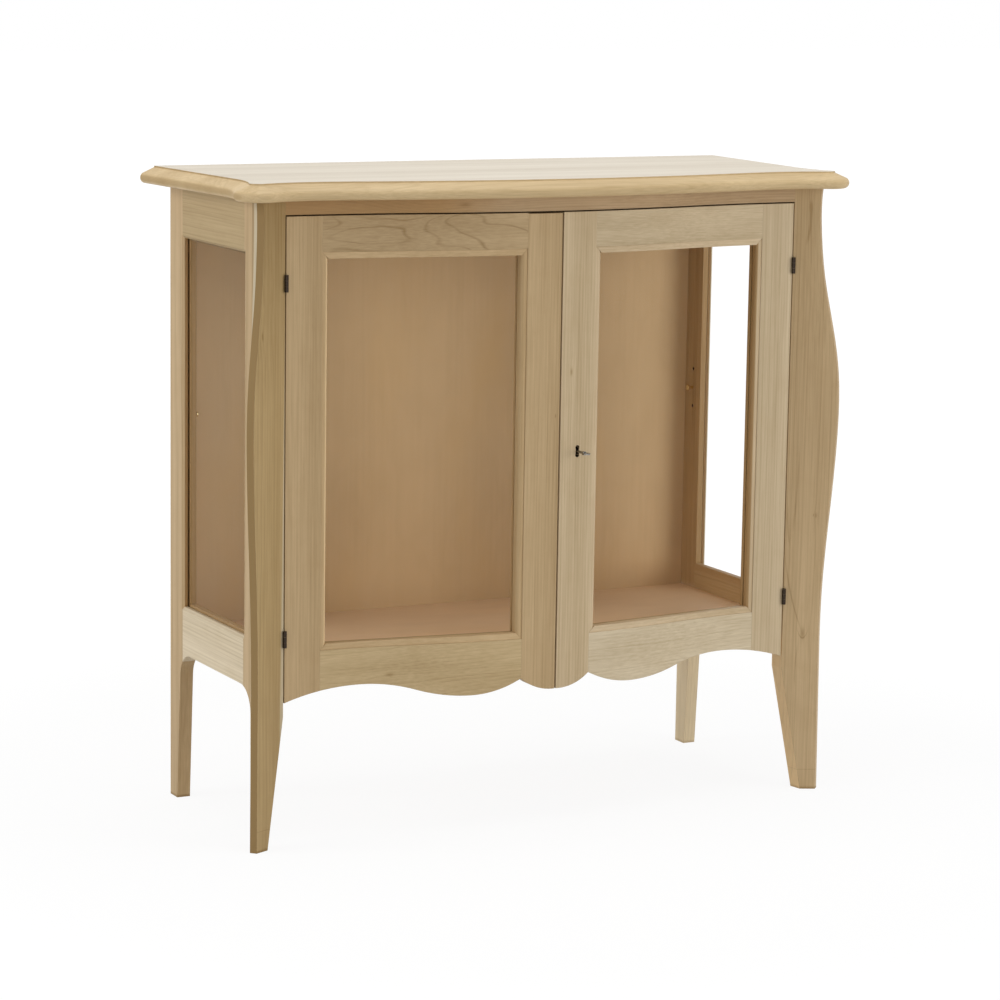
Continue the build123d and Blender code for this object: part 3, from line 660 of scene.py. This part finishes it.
print("the joint in a foot is", FOOT_JOINT, "m up")


# %% Streamers and a bowl round the right leg's large knot
@dataclass
class Streamer:
    """A dark line on the right leg: its two ends aside of and above the large knot, how far its
    middle bows aside, and how wide and dark it is."""

    low: tuple
    high: tuple
    bow: float
    width: float
    weight: float


LARGE_KNOT = in_box("front_leg_right", KNOTS["front_leg_right"][0][0])
STREAMERS = (
    Streamer((-0.0003, 0.0), (-0.0294, 0.138), -0.005, 0.0016, 0.55),
    Streamer((-0.0099, -0.092), (-0.0054, -0.012), -0.002, 0.0016, 0.4),
    Streamer((-0.0186, 0.168), (-0.0129, 0.318), 0.001, 0.0022, 0.45),
    Streamer((-0.0223, 0.143), (-0.0269, 0.218), -0.002, 0.0018, 0.4),
    Streamer((-0.0099, 0.638), (-0.0044, 0.713), 0.003, 0.003, 0.5),
)


def streamer_tone(aside, above, streamer):
    """aside = a straight line between both ends + 4 bow share (1 - share), where share is the part
    of the height."""
    rise, reach = streamer.high[1] - streamer.low[1], streamer.high[0] - streamer.low[0]
    share = (above - streamer.low[1]) * (1 / rise)
    bow = share * (1.0 - share) * (4 * streamer.bow)
    line = share * reach + streamer.low[0] + bow
    fade = share.ramp(0.0, 0.2) * share.ramp(1.0, 0.7)
    return abs(aside - line).ramp(streamer.width, 0.0) * fade * streamer.weight


def bowl_tone(aside, above):
    """A bowl under the knot: above = 220 aside^2 - 7.5 mm, within 10 mm to either side."""
    line = aside * aside * 220 - 0.0075
    return abs(above - line).ramp(0.0022, 0.0) * abs(aside).ramp(0.010, 0.005) * 0.6


def right_leg_marks(finish):
    """The streamers and the bowl, on a tone that is paler low down and darker high up, partly as painted
    shade under the top's overhang.
    """
    x, y, z = finish.split(finish.place)
    aside, above = x - LARGE_KNOT[0], z - LARGE_KNOT[2]
    tone = foot_marks(finish) + z.ramp(0.2, 0.9) * 0.3 - 0.22
    for streamer in STREAMERS:
        tone = tone + streamer_tone(aside, above, streamer)
    return tone + bowl_tone(aside, above)


print(len(STREAMERS), "streamers run up and down from", [round(part, 3) for part in LARGE_KNOT])

# %% Lines as on a map
LINES = (5, 19, 19)
LINE_WEIGHTS = (14, 40, 40)


def map_lines(finish):
    """Lines at the half steps of a noise stretched sideways, and paler wood towards the right."""
    parts = finish.split(finish.place)
    levels = finish.noise(LINES, parts, 1.5, 31) * 11
    line = abs(levels.maths("FRACT", levels) - 0.5).ramp(0.13, 0.0)
    weight = finish.noise(LINE_WEIGHTS, parts, 1.0, 8).ramp(-0.25, 0.25)
    return line * weight * 0.7 - parts[0].ramp(-0.2, -0.06) * 0.2


MARKS = {
    "front_leg_left": left_leg_marks,
    "front_leg_right": right_leg_marks,
    "back_leg_left": dark_foot,
    "back_leg_right": dark_foot,
    "door_top_rail_left": map_lines,
}
print(len(MARKS), "boards have marks")

# %% [markdown]
# ## The colour of each board
#
# Raw boards of one kind of wood run from a warm to a nearly white tan, and the right door is made of
# paler ones than the left. A colour could be picked at random, but a viewer knows the cabinet by
# where its pale boards are, so each is written down, as a tint of one of six woods. A few tints are
# also darker as painted shade: the rails under the top's overhang, and the right back leg where it
# looks into the cabinet.

# %% Six woods, and the boards that differ from the first
WARM = (0.50, 0.355, 0.184)
PALE = (0.59, 0.465, 0.29)
BLEACHED = (0.64, 0.535, 0.36)
HONEY = (0.58, 0.43, 0.225)
# SAPWOOD_AND_HIGHLIGHT is pale sapwood; high on the left leg's side facet it is also a painted
# highlight.
SAPWOOD_AND_HIGHLIGHT = (0.57, 0.49, 0.34)
# CREAM_AND_SHEEN is the top's pale upper face, made paler still as a painted sheen seen at a low angle.
CREAM_AND_SHEEN = (0.66, 0.60, 0.50)
# SHADED is painted shade for the faces inside the side windows, and DARK is painted shade inside the
# holes.
SHADED = tint(WARM, 0.72, 0.6, 0.46)
DARK = (0.035, 0.02, 0.012)
# The floor's plywood is paler than the back's as painted light, for the light that falls on it through
# the panes.
PLY_COLOURS = {"back_ply": (0.68, 0.485, 0.265), "floor_ply": (0.82, 0.60, 0.385)}

COLOURS = {
    "door_top_rail_right": tint(PALE, 0.92, 0.92, 0.9),
    "door_hinge_stile_right": tint(PALE, 0.94, 0.94, 0.93),
    "door_meeting_stile_right": tint(PALE, 0.96, 0.94, 0.9),
    "door_bottom_rail_right": BLEACHED,
    "side_bottom_rail_left": BLEACHED,
    "side_bottom_rail_right": tint(WARM, 0.95, 0.88, 0.75),
    # The right back leg's own colour shows where it looks into the cabinet, darker and browner there as
    # painted shade.
    "back_leg_right": tint(WARM, 0.92, 0.82, 0.66),
    "top_board": HONEY,
    # The side's top rail and the front top rail are darker as painted shade under the top's overhang.
    "side_top_rail_left": tint(WARM, 0.84, 0.86, 0.8),
    "front_top_rail": tint(WARM, 0.83, 0.8, 0.82),
    "front_leg_left": tint(WARM, 0.84, 0.82, 0.69),
    "door_bottom_rail_left": tint(WARM, 1.05, 1.1, 1.1),
    # The left door's top rail is darker partly in its figure and partly as painted shade under the top.
    "door_top_rail_left": tint(WARM, 0.92),
    "door_moulding_left": tint(WARM, 1.1),
    "door_moulding_right": tint(PALE, 1.02, 1.0, 0.98),
}
# The beads' browner colour is painted shade: they sit deep in the window reveals.
BEAD_COLOUR = tint(WARM, 0.85, 0.75, 0.6)
print(len(COLOURS), "boards have a colour of their own")

# %% [markdown]
# ## Where one board has two colours
#
# The top is cream on its surface, paler still as a painted sheen, and honey on its moulded edge. The
# left leg has pale sapwood beside its dark edge, which on the lit side facet is also a painted
# highlight. The faces inside the side windows and the holes get painted shade. The left door's
# moulding has a painted highlight on its strips that face right, the right door's painted shade on
# those that face left, the front top rail painted shade at its left end, and the right legs painted
# light at the foot. Each of these is a share from 0 to 1, given by a short formula, with the colour
# that it brings in. Two solids would give the same look, but the real board is one piece.


# %% Shares that depend on where a face looks or lies
def looks(axis, low, high):
    """A share that is 0 where the surface looks along an axis by low, and 1 where by high."""
    return lambda finish: finish.split(finish.facing)["xyz".index(axis)].ramp(low, high)


def lies(axis, low, high):
    """A share that is 0 at one place on an axis, in metres, and 1 at the other."""
    return lambda finish: finish.split(finish.place)["xyz".index(axis)].ramp(low, high)


FLOOR_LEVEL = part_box("floor_panel")[1].z
foot_zone = lies("z", FLOOR_LEVEL + 0.01, FLOOR_LEVEL - 0.03)


def jamb(finish):
    """The faces inside a side window, between the outside and the pane, which look along it, and get
    painted shade.
    """
    along = finish.split(finish.facing)[1]
    return abs(along).ramp(0.9, 0.95) * (1.0 - foot_zone(finish))


def inner_taper(finish):
    """The tapered side of the right leg's foot that looks at the other leg, where a paler colour is
    painted light.
    """
    return looks("x", -0.6, -0.8)(finish) * foot_zone(finish)


def outward(finish):
    """The faces of the right back leg that look to the right or back."""
    return looks("x", 0.3, 0.6)(finish) + looks("y", 0.3, 0.6)(finish)


def sapwood_and_highlight(finish):
    """Sapwood high on the side's front part, paler there as a painted highlight on that lit facet, and
    in a strip beside the door that leans 12 mm a metre.
    """
    inner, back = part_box("front_leg_left")[1].xy
    x, y, z = finish.split(finish.place)
    aside = looks("x", -0.85, -0.93)(finish) * z.ramp(0.72, 0.84)
    aside = aside * y.ramp(back - 0.0167, back - 0.0187)
    strip = (x - z * 0.012 - (inner - 0.0105)).ramp(0.0, 0.003) * z.ramp(0.88, 0.8) * 0.75
    return aside + strip


print("the shade of a foot begins", round(FLOOR_LEVEL + 0.01, 3), "m up")

# %% [markdown]
# ## The shade in the holes
#
# Above and below each shelf pin is an unused hole, and the key's hole goes through the right door.
# Hardly any light reaches into them. The lamps alone would make them only a little darker than the
# wood, because the pale room is all round, so their inside gets a dark colour. Both are found from
# the pieces that fit them: the pins' box, and the axis that the key turns on.

# %% Shares inside the holes
HOLE_PITCH = 0.032
KEYHOLE_HALF = (0.0034, 0.0135, 0.0096)
JOINTS = {joint["name"]: joint for joint in frame["record"]["behaviour"]["joints"]}


def keyhole(finish):
    """1 within the keyhole's half extents of the key's axis, and 0 outside."""
    share = 1.0
    axis = JOINTS["key_turn"]["pos_m"]
    for part, centre, half in zip(finish.split(finish.place), axis, KEYHOLE_HALF):
        share = abs(part - centre).below(half) * share
    return share


def pin_holes(finish):
    """1 in and just round each unused hole, which ends where the pins' own holes end."""
    x, y, z = finish.split(finish.place)
    low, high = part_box("shelf_pins")
    head = (high.z - low.z) / 2
    dark = 0.0
    for centre in (high.y - head, low.y + head):
        for level in (low.z + head - HOLE_PITCH, low.z + head + HOLE_PITCH):
            reach = ((y - centre) * (y - centre) + (z - level) * (z - level)) ** 0.5
            dark = reach.ramp(0.0031, 0.0026) + dark
    return dark * abs(x).below(high.x + 0.0005)


WINDOW_SHADES = ((jamb, SHADED), (pin_holes, DARK))
OTHERS = {
    # The top's upper face: cream wood with a painted sheen.
    "top_board": ((looks("z", 0.95, 0.99), CREAM_AND_SHEEN),),
    # The front top rail's left end is darker still, as painted shade under the top's overhang.
    "front_top_rail": ((lies("x", -0.1, -0.2), tint(WARM, 0.8, 0.68, 0.55)),),
    # Sapwood, and a painted highlight on the lit side facet high up.
    "front_leg_left": ((sapwood_and_highlight, SAPWOOD_AND_HIGHLIGHT),),
    # The inner taper of the foot is paler as painted light, where the cabinet shades it.
    "front_leg_right": ((inner_taper, tint(WARM, 1.75, 1.8, 1.9)),),
    "back_leg_left": WINDOW_SHADES,
    "back_leg_right": (
        (outward, tint(BLEACHED, 1.05)),
        (jamb, SHADED),
        # The foot is paler as painted light, where the cabinet shades it.
        (foot_zone, tint(BLEACHED, 1.25)),
        (pin_holes, DARK),
    ),
    "side_stile_left": WINDOW_SHADES,
    "side_stile_right": WINDOW_SHADES,
    "door_meeting_stile_right": ((keyhole, DARK),),
    # Painted highlight on the left door's moulding strips that face right, and painted shade on the
    # right door's strips that face left.
    "door_moulding_left": ((looks("x", 0.2, 0.5), tint(WARM, 1.6, 1.7, 1.85)),),
    "door_moulding_right": ((looks("x", -0.2, -0.5), tint(WARM, 0.78, 0.68, 0.55)),),
}
print(len(OTHERS), "boards have more than one colour")

# %% [markdown]
# ## Dressing every solid
#
# The CAD part names a material for each solid, and that name says which recipe it takes. Metals are
# shared, and every board, sheet and pane has a finish of its own, because its grain and its dust
# start from its own middle.


# %% One finish for each solid
def finish_of(name, slot, place):
    """The finish of a solid, from its name, its CAD material and its place in the list."""
    level = "y" if name.startswith("side") else "x"
    if slot in METALS:
        return METALS[slot]
    if slot == "clear_glass":
        return clear_pane(name, level)
    if slot in PLY_COLOURS:
        return peeled_veneer(name, "z" if slot == "back_ply" else "x", PLY_COLOURS[slot], place)
    cut, others = cut_of(name, place), OTHERS.get(name, ())
    if "beads" in name or "moulding" in name:
        strips = replace(cut, contrast=0.2)
        return mitred_wood(name, level, COLOURS.get(name, BEAD_COLOUR), strips, others)
    grain = grain_of(name)
    cut = replace(cut, knots=knots_of(name, grain))
    return sanded_wood(name, grain, COLOURS.get(name, WARM), cut, MARKS.get(name), others)


for place, (name, solid) in enumerate(sorted(cabinet.items())):
    made = finish_of(name, solid.data.materials[0].name, place)
    solid.data.materials.clear()
    solid.data.materials.append(made)
print(len({o.data.materials[0].name for o in cabinet.values()}), "finishes on", len(cabinet), "solids")

# %% [markdown]
# ## Screws
#
# The back, the cleats, the lock and the bolts are held by small countersunk screws. A screw head
# could be a cylinder with a cut taken out, but a cut needs a boolean and leaves long thin faces. A
# head is a function of two parameters instead: one runs from the crown's middle over the rim and
# back in below, the other runs round, and the slot is simply where the crown is lower. All its
# measures are shares of the head's radius.


# %% A screw head as a surface
SLOT_HALF, SLOT_SLOPE, SLOT_DEPTH = 0.2, 0.08, 0.32
CROSS_REACH, CROSS_SLOPE = 0.62, 0.12


def head_profile(rings):
    """Radius and height, as shares of the head's radius, from the crown's middle to below the wood:
    a low dome, a rounded rim and a cone that closes on the axis."""
    crown = np.linspace(0, 0.94, rings)
    dome = np.column_stack([crown, 0.10 * (1 - crown**2)])
    rim = np.array([[0.985, 0.0], [1.0, -0.05], [1.0, -0.12]])
    cone = np.array([[0.72, -0.42], [0.4, -0.72], [0.0, -0.9]])
    return np.vstack([dome, rim, cone])


def screw_head(radius, cut, rings=9, sides=44):
    """Corners and faces of one head that looks along +Z with its rim at zero.
    The slot's depth is a smooth step on the distance from the slot's middle line. A head cut with a
    cross takes the nearer of two such lines, within a short reach. A rivet or pin has no cut."""
    profile = head_profile(rings)
    turn = np.linspace(0, 2 * np.pi, sides, endpoint=False)
    ring = profile[1:-1]
    x = ring[:, :1] * np.cos(turn)
    y = ring[:, :1] * np.sin(turn)
    z = np.repeat(ring[:, 1:], sides, axis=1)
    crossed = cut == "cross"
    line = np.minimum(abs(x), abs(y)) if crossed else abs(y)
    reach = np.clip((CROSS_REACH - np.hypot(x, y)) / CROSS_SLOPE, 0, 1) if crossed else 1.0
    step = np.clip((SLOT_HALF - line) / SLOT_SLOPE, 0, 1) * reach
    on_crown = (np.arange(len(ring)) < rings - 1)[:, None]
    depth = 0.0 if cut == "none" else SLOT_DEPTH
    z = z - depth * step * on_crown
    top = [0, 0, profile[0, 1] - depth]
    corners = np.vstack([np.dstack([x, y, z]).reshape(-1, 3), [top], [[0, 0, profile[-1, 1]]]])
    return corners * radius, lathe_faces(len(ring), sides)


def lathe_faces(rows, sides):
    """Quads between neighbouring rings and a fan at each pole, whose corners come last."""
    row, side = np.meshgrid(np.arange(rows - 1), np.arange(sides), indexing="ij")
    after = (side + 1) % sides
    a, b = row * sides + side, row * sides + after
    quads = np.dstack([a, a + sides, b + sides, b]).reshape(-1, 4)
    ring = np.arange(sides)
    crown = np.column_stack([np.full(sides, rows * sides), ring, (ring + 1) % sides])
    last = (rows - 1) * sides
    foot = np.column_stack([np.full(sides, rows * sides + 1), last + (ring + 1) % sides, last + ring])
    return quads.tolist() + crown.tolist() + foot.tolist()


corners, faces = screw_head(1.0, "cross")
print("one screw head has", len(corners), "corners and", len(faces), "faces")

# %% [markdown]
# ## Driving the screws
#
# Screws are set in rows, each a little proud of the wood and each stopped at its own angle, as a
# driver leaves them. All the heads of one fitting become one piece, which rides on the body that it
# is screwed to. The turned copies are made in one array sum: every corner, times the three
# directions of its screw, plus the screw's place.


# %% Rows of screws
LEFT, RIGHT, BACK, DOWN = (-1, 0, 0), (1, 0, 0), (0, 1, 0), (0, 0, -1)
SIDES = (("left", -1), ("right", 1))


def between(low, high, margin, count=2):
    """Evenly spaced figures, the first and the last a margin inside."""
    return np.linspace(low + margin, high - margin, count)


def drive(name, body, slot, places, facing, radius, cut="slot", proud=0.0001):
    """One piece with a screw head at each place. Every head is turned about its own axis."""
    corners, faces = screw_head(radius, cut)
    places = np.array(places, float)
    facing = np.array(facing, float)
    side = np.cross(facing, (0, 0, 1) if abs(facing[2]) < 0.5 else (1, 0, 0))
    other = np.cross(facing, side)
    angle = np.arange(len(places)) * 2.4 + len(name)
    first = np.cos(angle)[:, None] * side + np.sin(angle)[:, None] * other
    second = np.cross(facing, first)
    flat = corners[None, :, :1] * first[:, None] + corners[None, :, 1:2] * second[:, None]
    raised = (corners[None, :, 2:] + proud) * facing
    points = (flat + raised + places[:, None]).reshape(-1, 3)
    count = len(corners)
    all_faces = [[i + n * count for i in face] for n in range(len(places)) for face in faces]
    mesh = bpy.data.meshes.new(name)
    mesh.from_pydata(points.tolist(), [], all_faces)
    mesh.materials.append(METALS[slot])
    piece = bpy.data.objects.new(name, mesh)
    bpy.context.scene.collection.objects.link(piece)
    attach(piece, body)
    print(name, "has", len(places), "heads on", body)


print("five from 0 to 1, a tenth inside:", between(0, 1, 0.1, 5))

# %% Screws of the back
LOWEST, HIGHEST = 0.137, 0.133
low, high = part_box("back_panel")
levels = (middle_of("back_top_rail").z, middle_of("back_bottom_rail").z)
rows = [(x, high.y, z) for z in levels for x in between(low.x, high.x, margin=0.052, count=6)]
heights = np.linspace(low.z + LOWEST, high.z - HIGHEST, 4)
rows += [(x, high.y, z) for x in between(low.x, high.x, margin=0.005) for z in heights]
drive("back_panel_screws", "cabinet", "bright_steel", rows, BACK, radius=0.0033, cut="cross")

# %% Screws of the cleats and the bearers
FRONTMOST, BACKMOST = 0.0313, 0.0347
for solid in ("top_cleat", "floor_bearer"):
    low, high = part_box(solid + "_left")
    x = middle_of(solid + "_left").x
    spots = np.linspace(low.y + FRONTMOST, high.y - BACKMOST, 3)
    rows = [(side, y, low.z) for side in (x, -x) for y in spots]
    drive(solid + "_screws", "cabinet", "bright_steel", rows, DOWN, radius=0.0036, cut="cross")

# %% [markdown]
# ## Screws and rivets of the fittings
#
# The lock's front plate and the strike plate each have a screw above and below the bolt. The lock's
# case is closed with four rivets, which are heads without a slot. The plates of the slide bolts have
# four small screws each, and every hinge leaf has three, set a little under its face, because the
# leaves close to half a millimetre of each other. The beads are pinned, as joiners do it, so that a
# broken pane can be changed. The places follow from the fittings' boxes and the hinges' axis.

# %% Screws of the lock and the strike
PLATE_MARGIN = 0.004
low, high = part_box("lock_case")
y = middle_of("lock_case").y
rows = [(low.x, y, z) for z in between(low.z, high.z, PLATE_MARGIN)]
drive("lock_front_screws", "right_door", "lock_brass", rows, LEFT, radius=0.0024)

columns = (low.x + 0.0065, high.x - 0.0055)
rows = [(x, high.y, z) for x in columns for z in between(low.z, high.z, 0.0135)]
drive("lock_case_rivets", "right_door", "lock_brass", rows, BACK, radius=0.002, cut="none")

low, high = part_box("strike_plate")
y = middle_of("strike_plate").y
rows = [(high.x, y, z) for z in between(low.z, high.z, PLATE_MARGIN)]
drive("strike_screws", "left_door", "lock_brass", rows, RIGHT, radius=0.0019)

# %% Screws of the slide bolts' plates
PLATE_THICK, SCREW_RISE = 0.0015, 0.006
for end in ("top", "bottom"):
    low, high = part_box("slide_guides_" + end)
    z = middle_of("slide_guides_" + end).z
    columns, levels = between(low.x, high.x, margin=0.002), (z - SCREW_RISE, z + SCREW_RISE)
    rows = [(x, low.y + PLATE_THICK, level) for x in columns for level in levels]
    drive("slide_plate_screws_" + end, "left_door", "bright_steel", rows, BACK, radius=0.0014)

# %% Screws of the hinges
HALF_GAP, HINGE_HALF = 0.00025, 0.013
TRIANGLE = ((0.0065, 0.0), (0.0135, 0.0075), (0.0135, -0.0075))
hinge_x = JOINTS["right_door_hinge"]["pos_m"][0]
low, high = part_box("hinge_door_leaves_right")
middles = between(low.z, high.z, HINGE_HALF)
spots = [(high.y - inside, z + rise) for z in middles for inside, rise in TRIANGLE]
for side, sign in SIDES:
    for kind, body, out in (("frame", "cabinet", 1), ("door", side + "_door", -1)):
        rows = [(sign * (hinge_x + out * HALF_GAP), y, z) for y, z in spots]
        name, facing = f"hinge_{kind}_screws_{side}", (-sign * out, 0, 0)
        drive(name, body, "dark_bronze", rows, facing, radius=0.0018, cut="cross", proud=-0.0001)

# %% Pins of the side beads
BEAD_HALF, PIN_MARGIN = 0.0045, 0.05
for side, sign in SIDES:
    low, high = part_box("side_beads_" + side)
    x = sign * min(abs(low.x), abs(high.x))
    heights, depths = between(low.z, high.z, PIN_MARGIN, 5), between(low.y, high.y, PIN_MARGIN, 3)
    rows = [(x, y, z) for y in between(low.y, high.y, BEAD_HALF) for z in heights]
    rows += [(x, y, z) for z in between(low.z, high.z, BEAD_HALF) for y in depths]
    drive("bead_pins_" + side, "cabinet", "bright_steel", rows, (-sign, 0, 0), radius=0.0008, cut="none")

# %% [markdown]
# ## The camera
#
# The camera stands left of the front and a little above it, far off, with a long lens, as a
# furniture catalogue has it. Its place and its three angles come from fitting the straight edges
# of the photograph. A tracking constraint would be simpler, but it can't hold the small roll.

# %% Set up the camera
CAMERA_PLACE = (-2.4984, -4.8707, 1.4031)
AZIMUTH, ELEVATION, ROLL = (math.radians(a) for a in (27.128, 9.485, 0.886))
FOCAL_PIXELS, FRAME_PIXELS, SENSOR = 3443, 1000, 36.0

level = math.cos(ELEVATION)
back = Vector((-math.sin(AZIMUTH) * level, -math.cos(AZIMUTH) * level, math.sin(ELEVATION)))
right = (-back).cross(Vector((0, 0, 1))).normalized()
turned = Matrix((right, back.cross(right), back)).transposed() @ Matrix.Rotation(ROLL, 3, "Z")
camera = bpy.data.objects.new("camera", bpy.data.cameras.new("camera"))
camera.data.sensor_width = SENSOR
camera.data.lens = SENSOR * FOCAL_PIXELS / FRAME_PIXELS
camera.matrix_world = Matrix.Translation(CAMERA_PLACE) @ turned.to_4x4()
bpy.context.scene.collection.objects.link(camera)
bpy.context.scene.camera = camera
print("lens", round(camera.data.lens, 1), "mm")

# %% [markdown]
# ## The floor and the light
#
# The cabinet stands on white, so the floor and the world show the camera a plain white, and only a
# part of the floor's brightness comes from the lamps: that part keeps the soft shadow. Metal and
# glass mirror the same white. The light on the wood itself is kept apart, at the level where a
# colour renders about as it is written: a broad lamp on the left and slightly behind, a weaker one
# low in front on the right, a small one in front, one overhead, and an even sky. Metal and glass
# don't mirror the right lamp, which would stand as a white square in a side pane.


# %% The white floor
FLOOR_WHITE = 1.06
SHADOW_SHARE = 0.15


def seen_directly(bench):
    """1 for what the camera sees, also by a mirror or through a pane, and 0 for light on the wood."""
    ways = ("Camera", "Glossy", "Transmission")
    rays = [bench.node("LightPath", {}, {}, f"Is {way} Ray") for way in ways]
    return (rays[0] + rays[1] + rays[2]).smaller(1.0)


def white_floor():
    """White where it is seen, and pale to the lamps. Within a metre or two of the cabinet a share of
    the pale floor shows too, and with it the soft shadow."""
    finish = Finish("white_floor")
    grain = finish.noise((90, 90, 90), finish.split(finish.place), 2.0)
    paint = finish.blend(grain * 0.1 + 0.5, (0.68, 0.68, 0.68), (0.72, 0.72, 0.72))
    matt = finish.node("BsdfDiffuse", {}, {"Color": paint})
    white = finish.node("Emission", {}, {"Color": (1, 1, 1, 1), "Strength": FLOOR_WHITE})
    x, y, height = finish.split(finish.place)
    near = (x * x + y * y).ramp(4.0, 0.8) * SHADOW_SHARE
    shown = finish.node("MixShader", {}, {0: near, 1: white, 2: matt})
    mixed = finish.node("MixShader", {}, {0: seen_directly(finish), 1: matt, 2: shown})
    finish.node("OutputMaterial", {}, {"Surface": mixed})
    return finish.material


def floor_sheet(half, count):
    """A flat square grid at floor height."""
    line = np.linspace(-half, half, count)
    x, y = np.meshgrid(line, line, indexing="ij")
    points = np.dstack([x, y, np.zeros_like(x)]).reshape(-1, 3)
    row, column = np.meshgrid(np.arange(count - 1), np.arange(count - 1), indexing="ij")
    a = row * count + column
    quads = np.dstack([a, a + count, a + count + 1, a + 1]).reshape(-1, 4)
    mesh = bpy.data.meshes.new("floor")
    mesh.from_pydata(points.tolist(), [], quads.tolist())
    mesh.materials.append(white_floor())
    return bpy.data.objects.new("floor", mesh)


floor = floor_sheet(half=30.0, count=9)
bpy.context.scene.collection.objects.link(floor)
floor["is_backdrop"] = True
print("the floor is", floor.dimensions.x, "m wide")


# %% The lamps
def soft_lamp(name, place, height, size, power, mirrored=True):
    """A square lamp that looks at a height on the middle axis, and is mirrored by metal or not."""
    lamp = bpy.data.objects.new(name, bpy.data.lights.new(name, "AREA"))
    lamp.data.size = size
    lamp.data.energy = power
    lamp.visible_glossy = mirrored
    lamp.location = place
    towards = Vector((0, 0, height)) - Vector(place)
    lamp.rotation_euler = towards.to_track_quat("-Z", "Y").to_euler()
    bpy.context.scene.collection.objects.link(lamp)
    print(name, "gives", power, "W")


soft_lamp("left_lamp", (-4.8, 0.6, 2.2), height=0.5, size=2.6, power=95)
soft_lamp("right_lamp", (2.9, -3.4, 1.1), height=0.5, size=2.4, power=60, mirrored=False)
soft_lamp("front_lamp", (-1.6, -4.6, 0.9), height=0.4, size=1.6, power=14)
soft_lamp("top_lamp", (0.2, -0.2, 4.2), height=1.0, size=2.6, power=66)

# %% The sky
SKY_LIGHT = 0.38

sky = bpy.data.worlds.new("sky")
bpy.context.scene.world = sky
sky.use_nodes = True
air = Bench(sky.node_tree)
lit = air.node("Background", {}, {"Color": (1, 1, 1, 1), "Strength": SKY_LIGHT})
shown = air.node("Background", {}, {"Color": (1, 1, 1, 1), "Strength": 1.0})
mixed = air.node("MixShader", {}, {0: seen_directly(air), 1: lit, 2: shown})
air.node("OutputWorld", {}, {"Surface": mixed})
bpy.context.scene.view_settings.view_transform = "Standard"
print("the sky gives", SKY_LIGHT, "and shows white")

# %% [markdown]
# ## Measuring the size
#
# The box of the CAD solids and the box of all that is shown, screws included, are measured and printed.
# Screws may not stand out of the solids' box.

# %% Measure and finish
boxes = {"cad": solids_box, "visual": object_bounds()}
boxes = {name: [list(corner) for corner in pair] for name, pair in boxes.items()}
print(boxes)
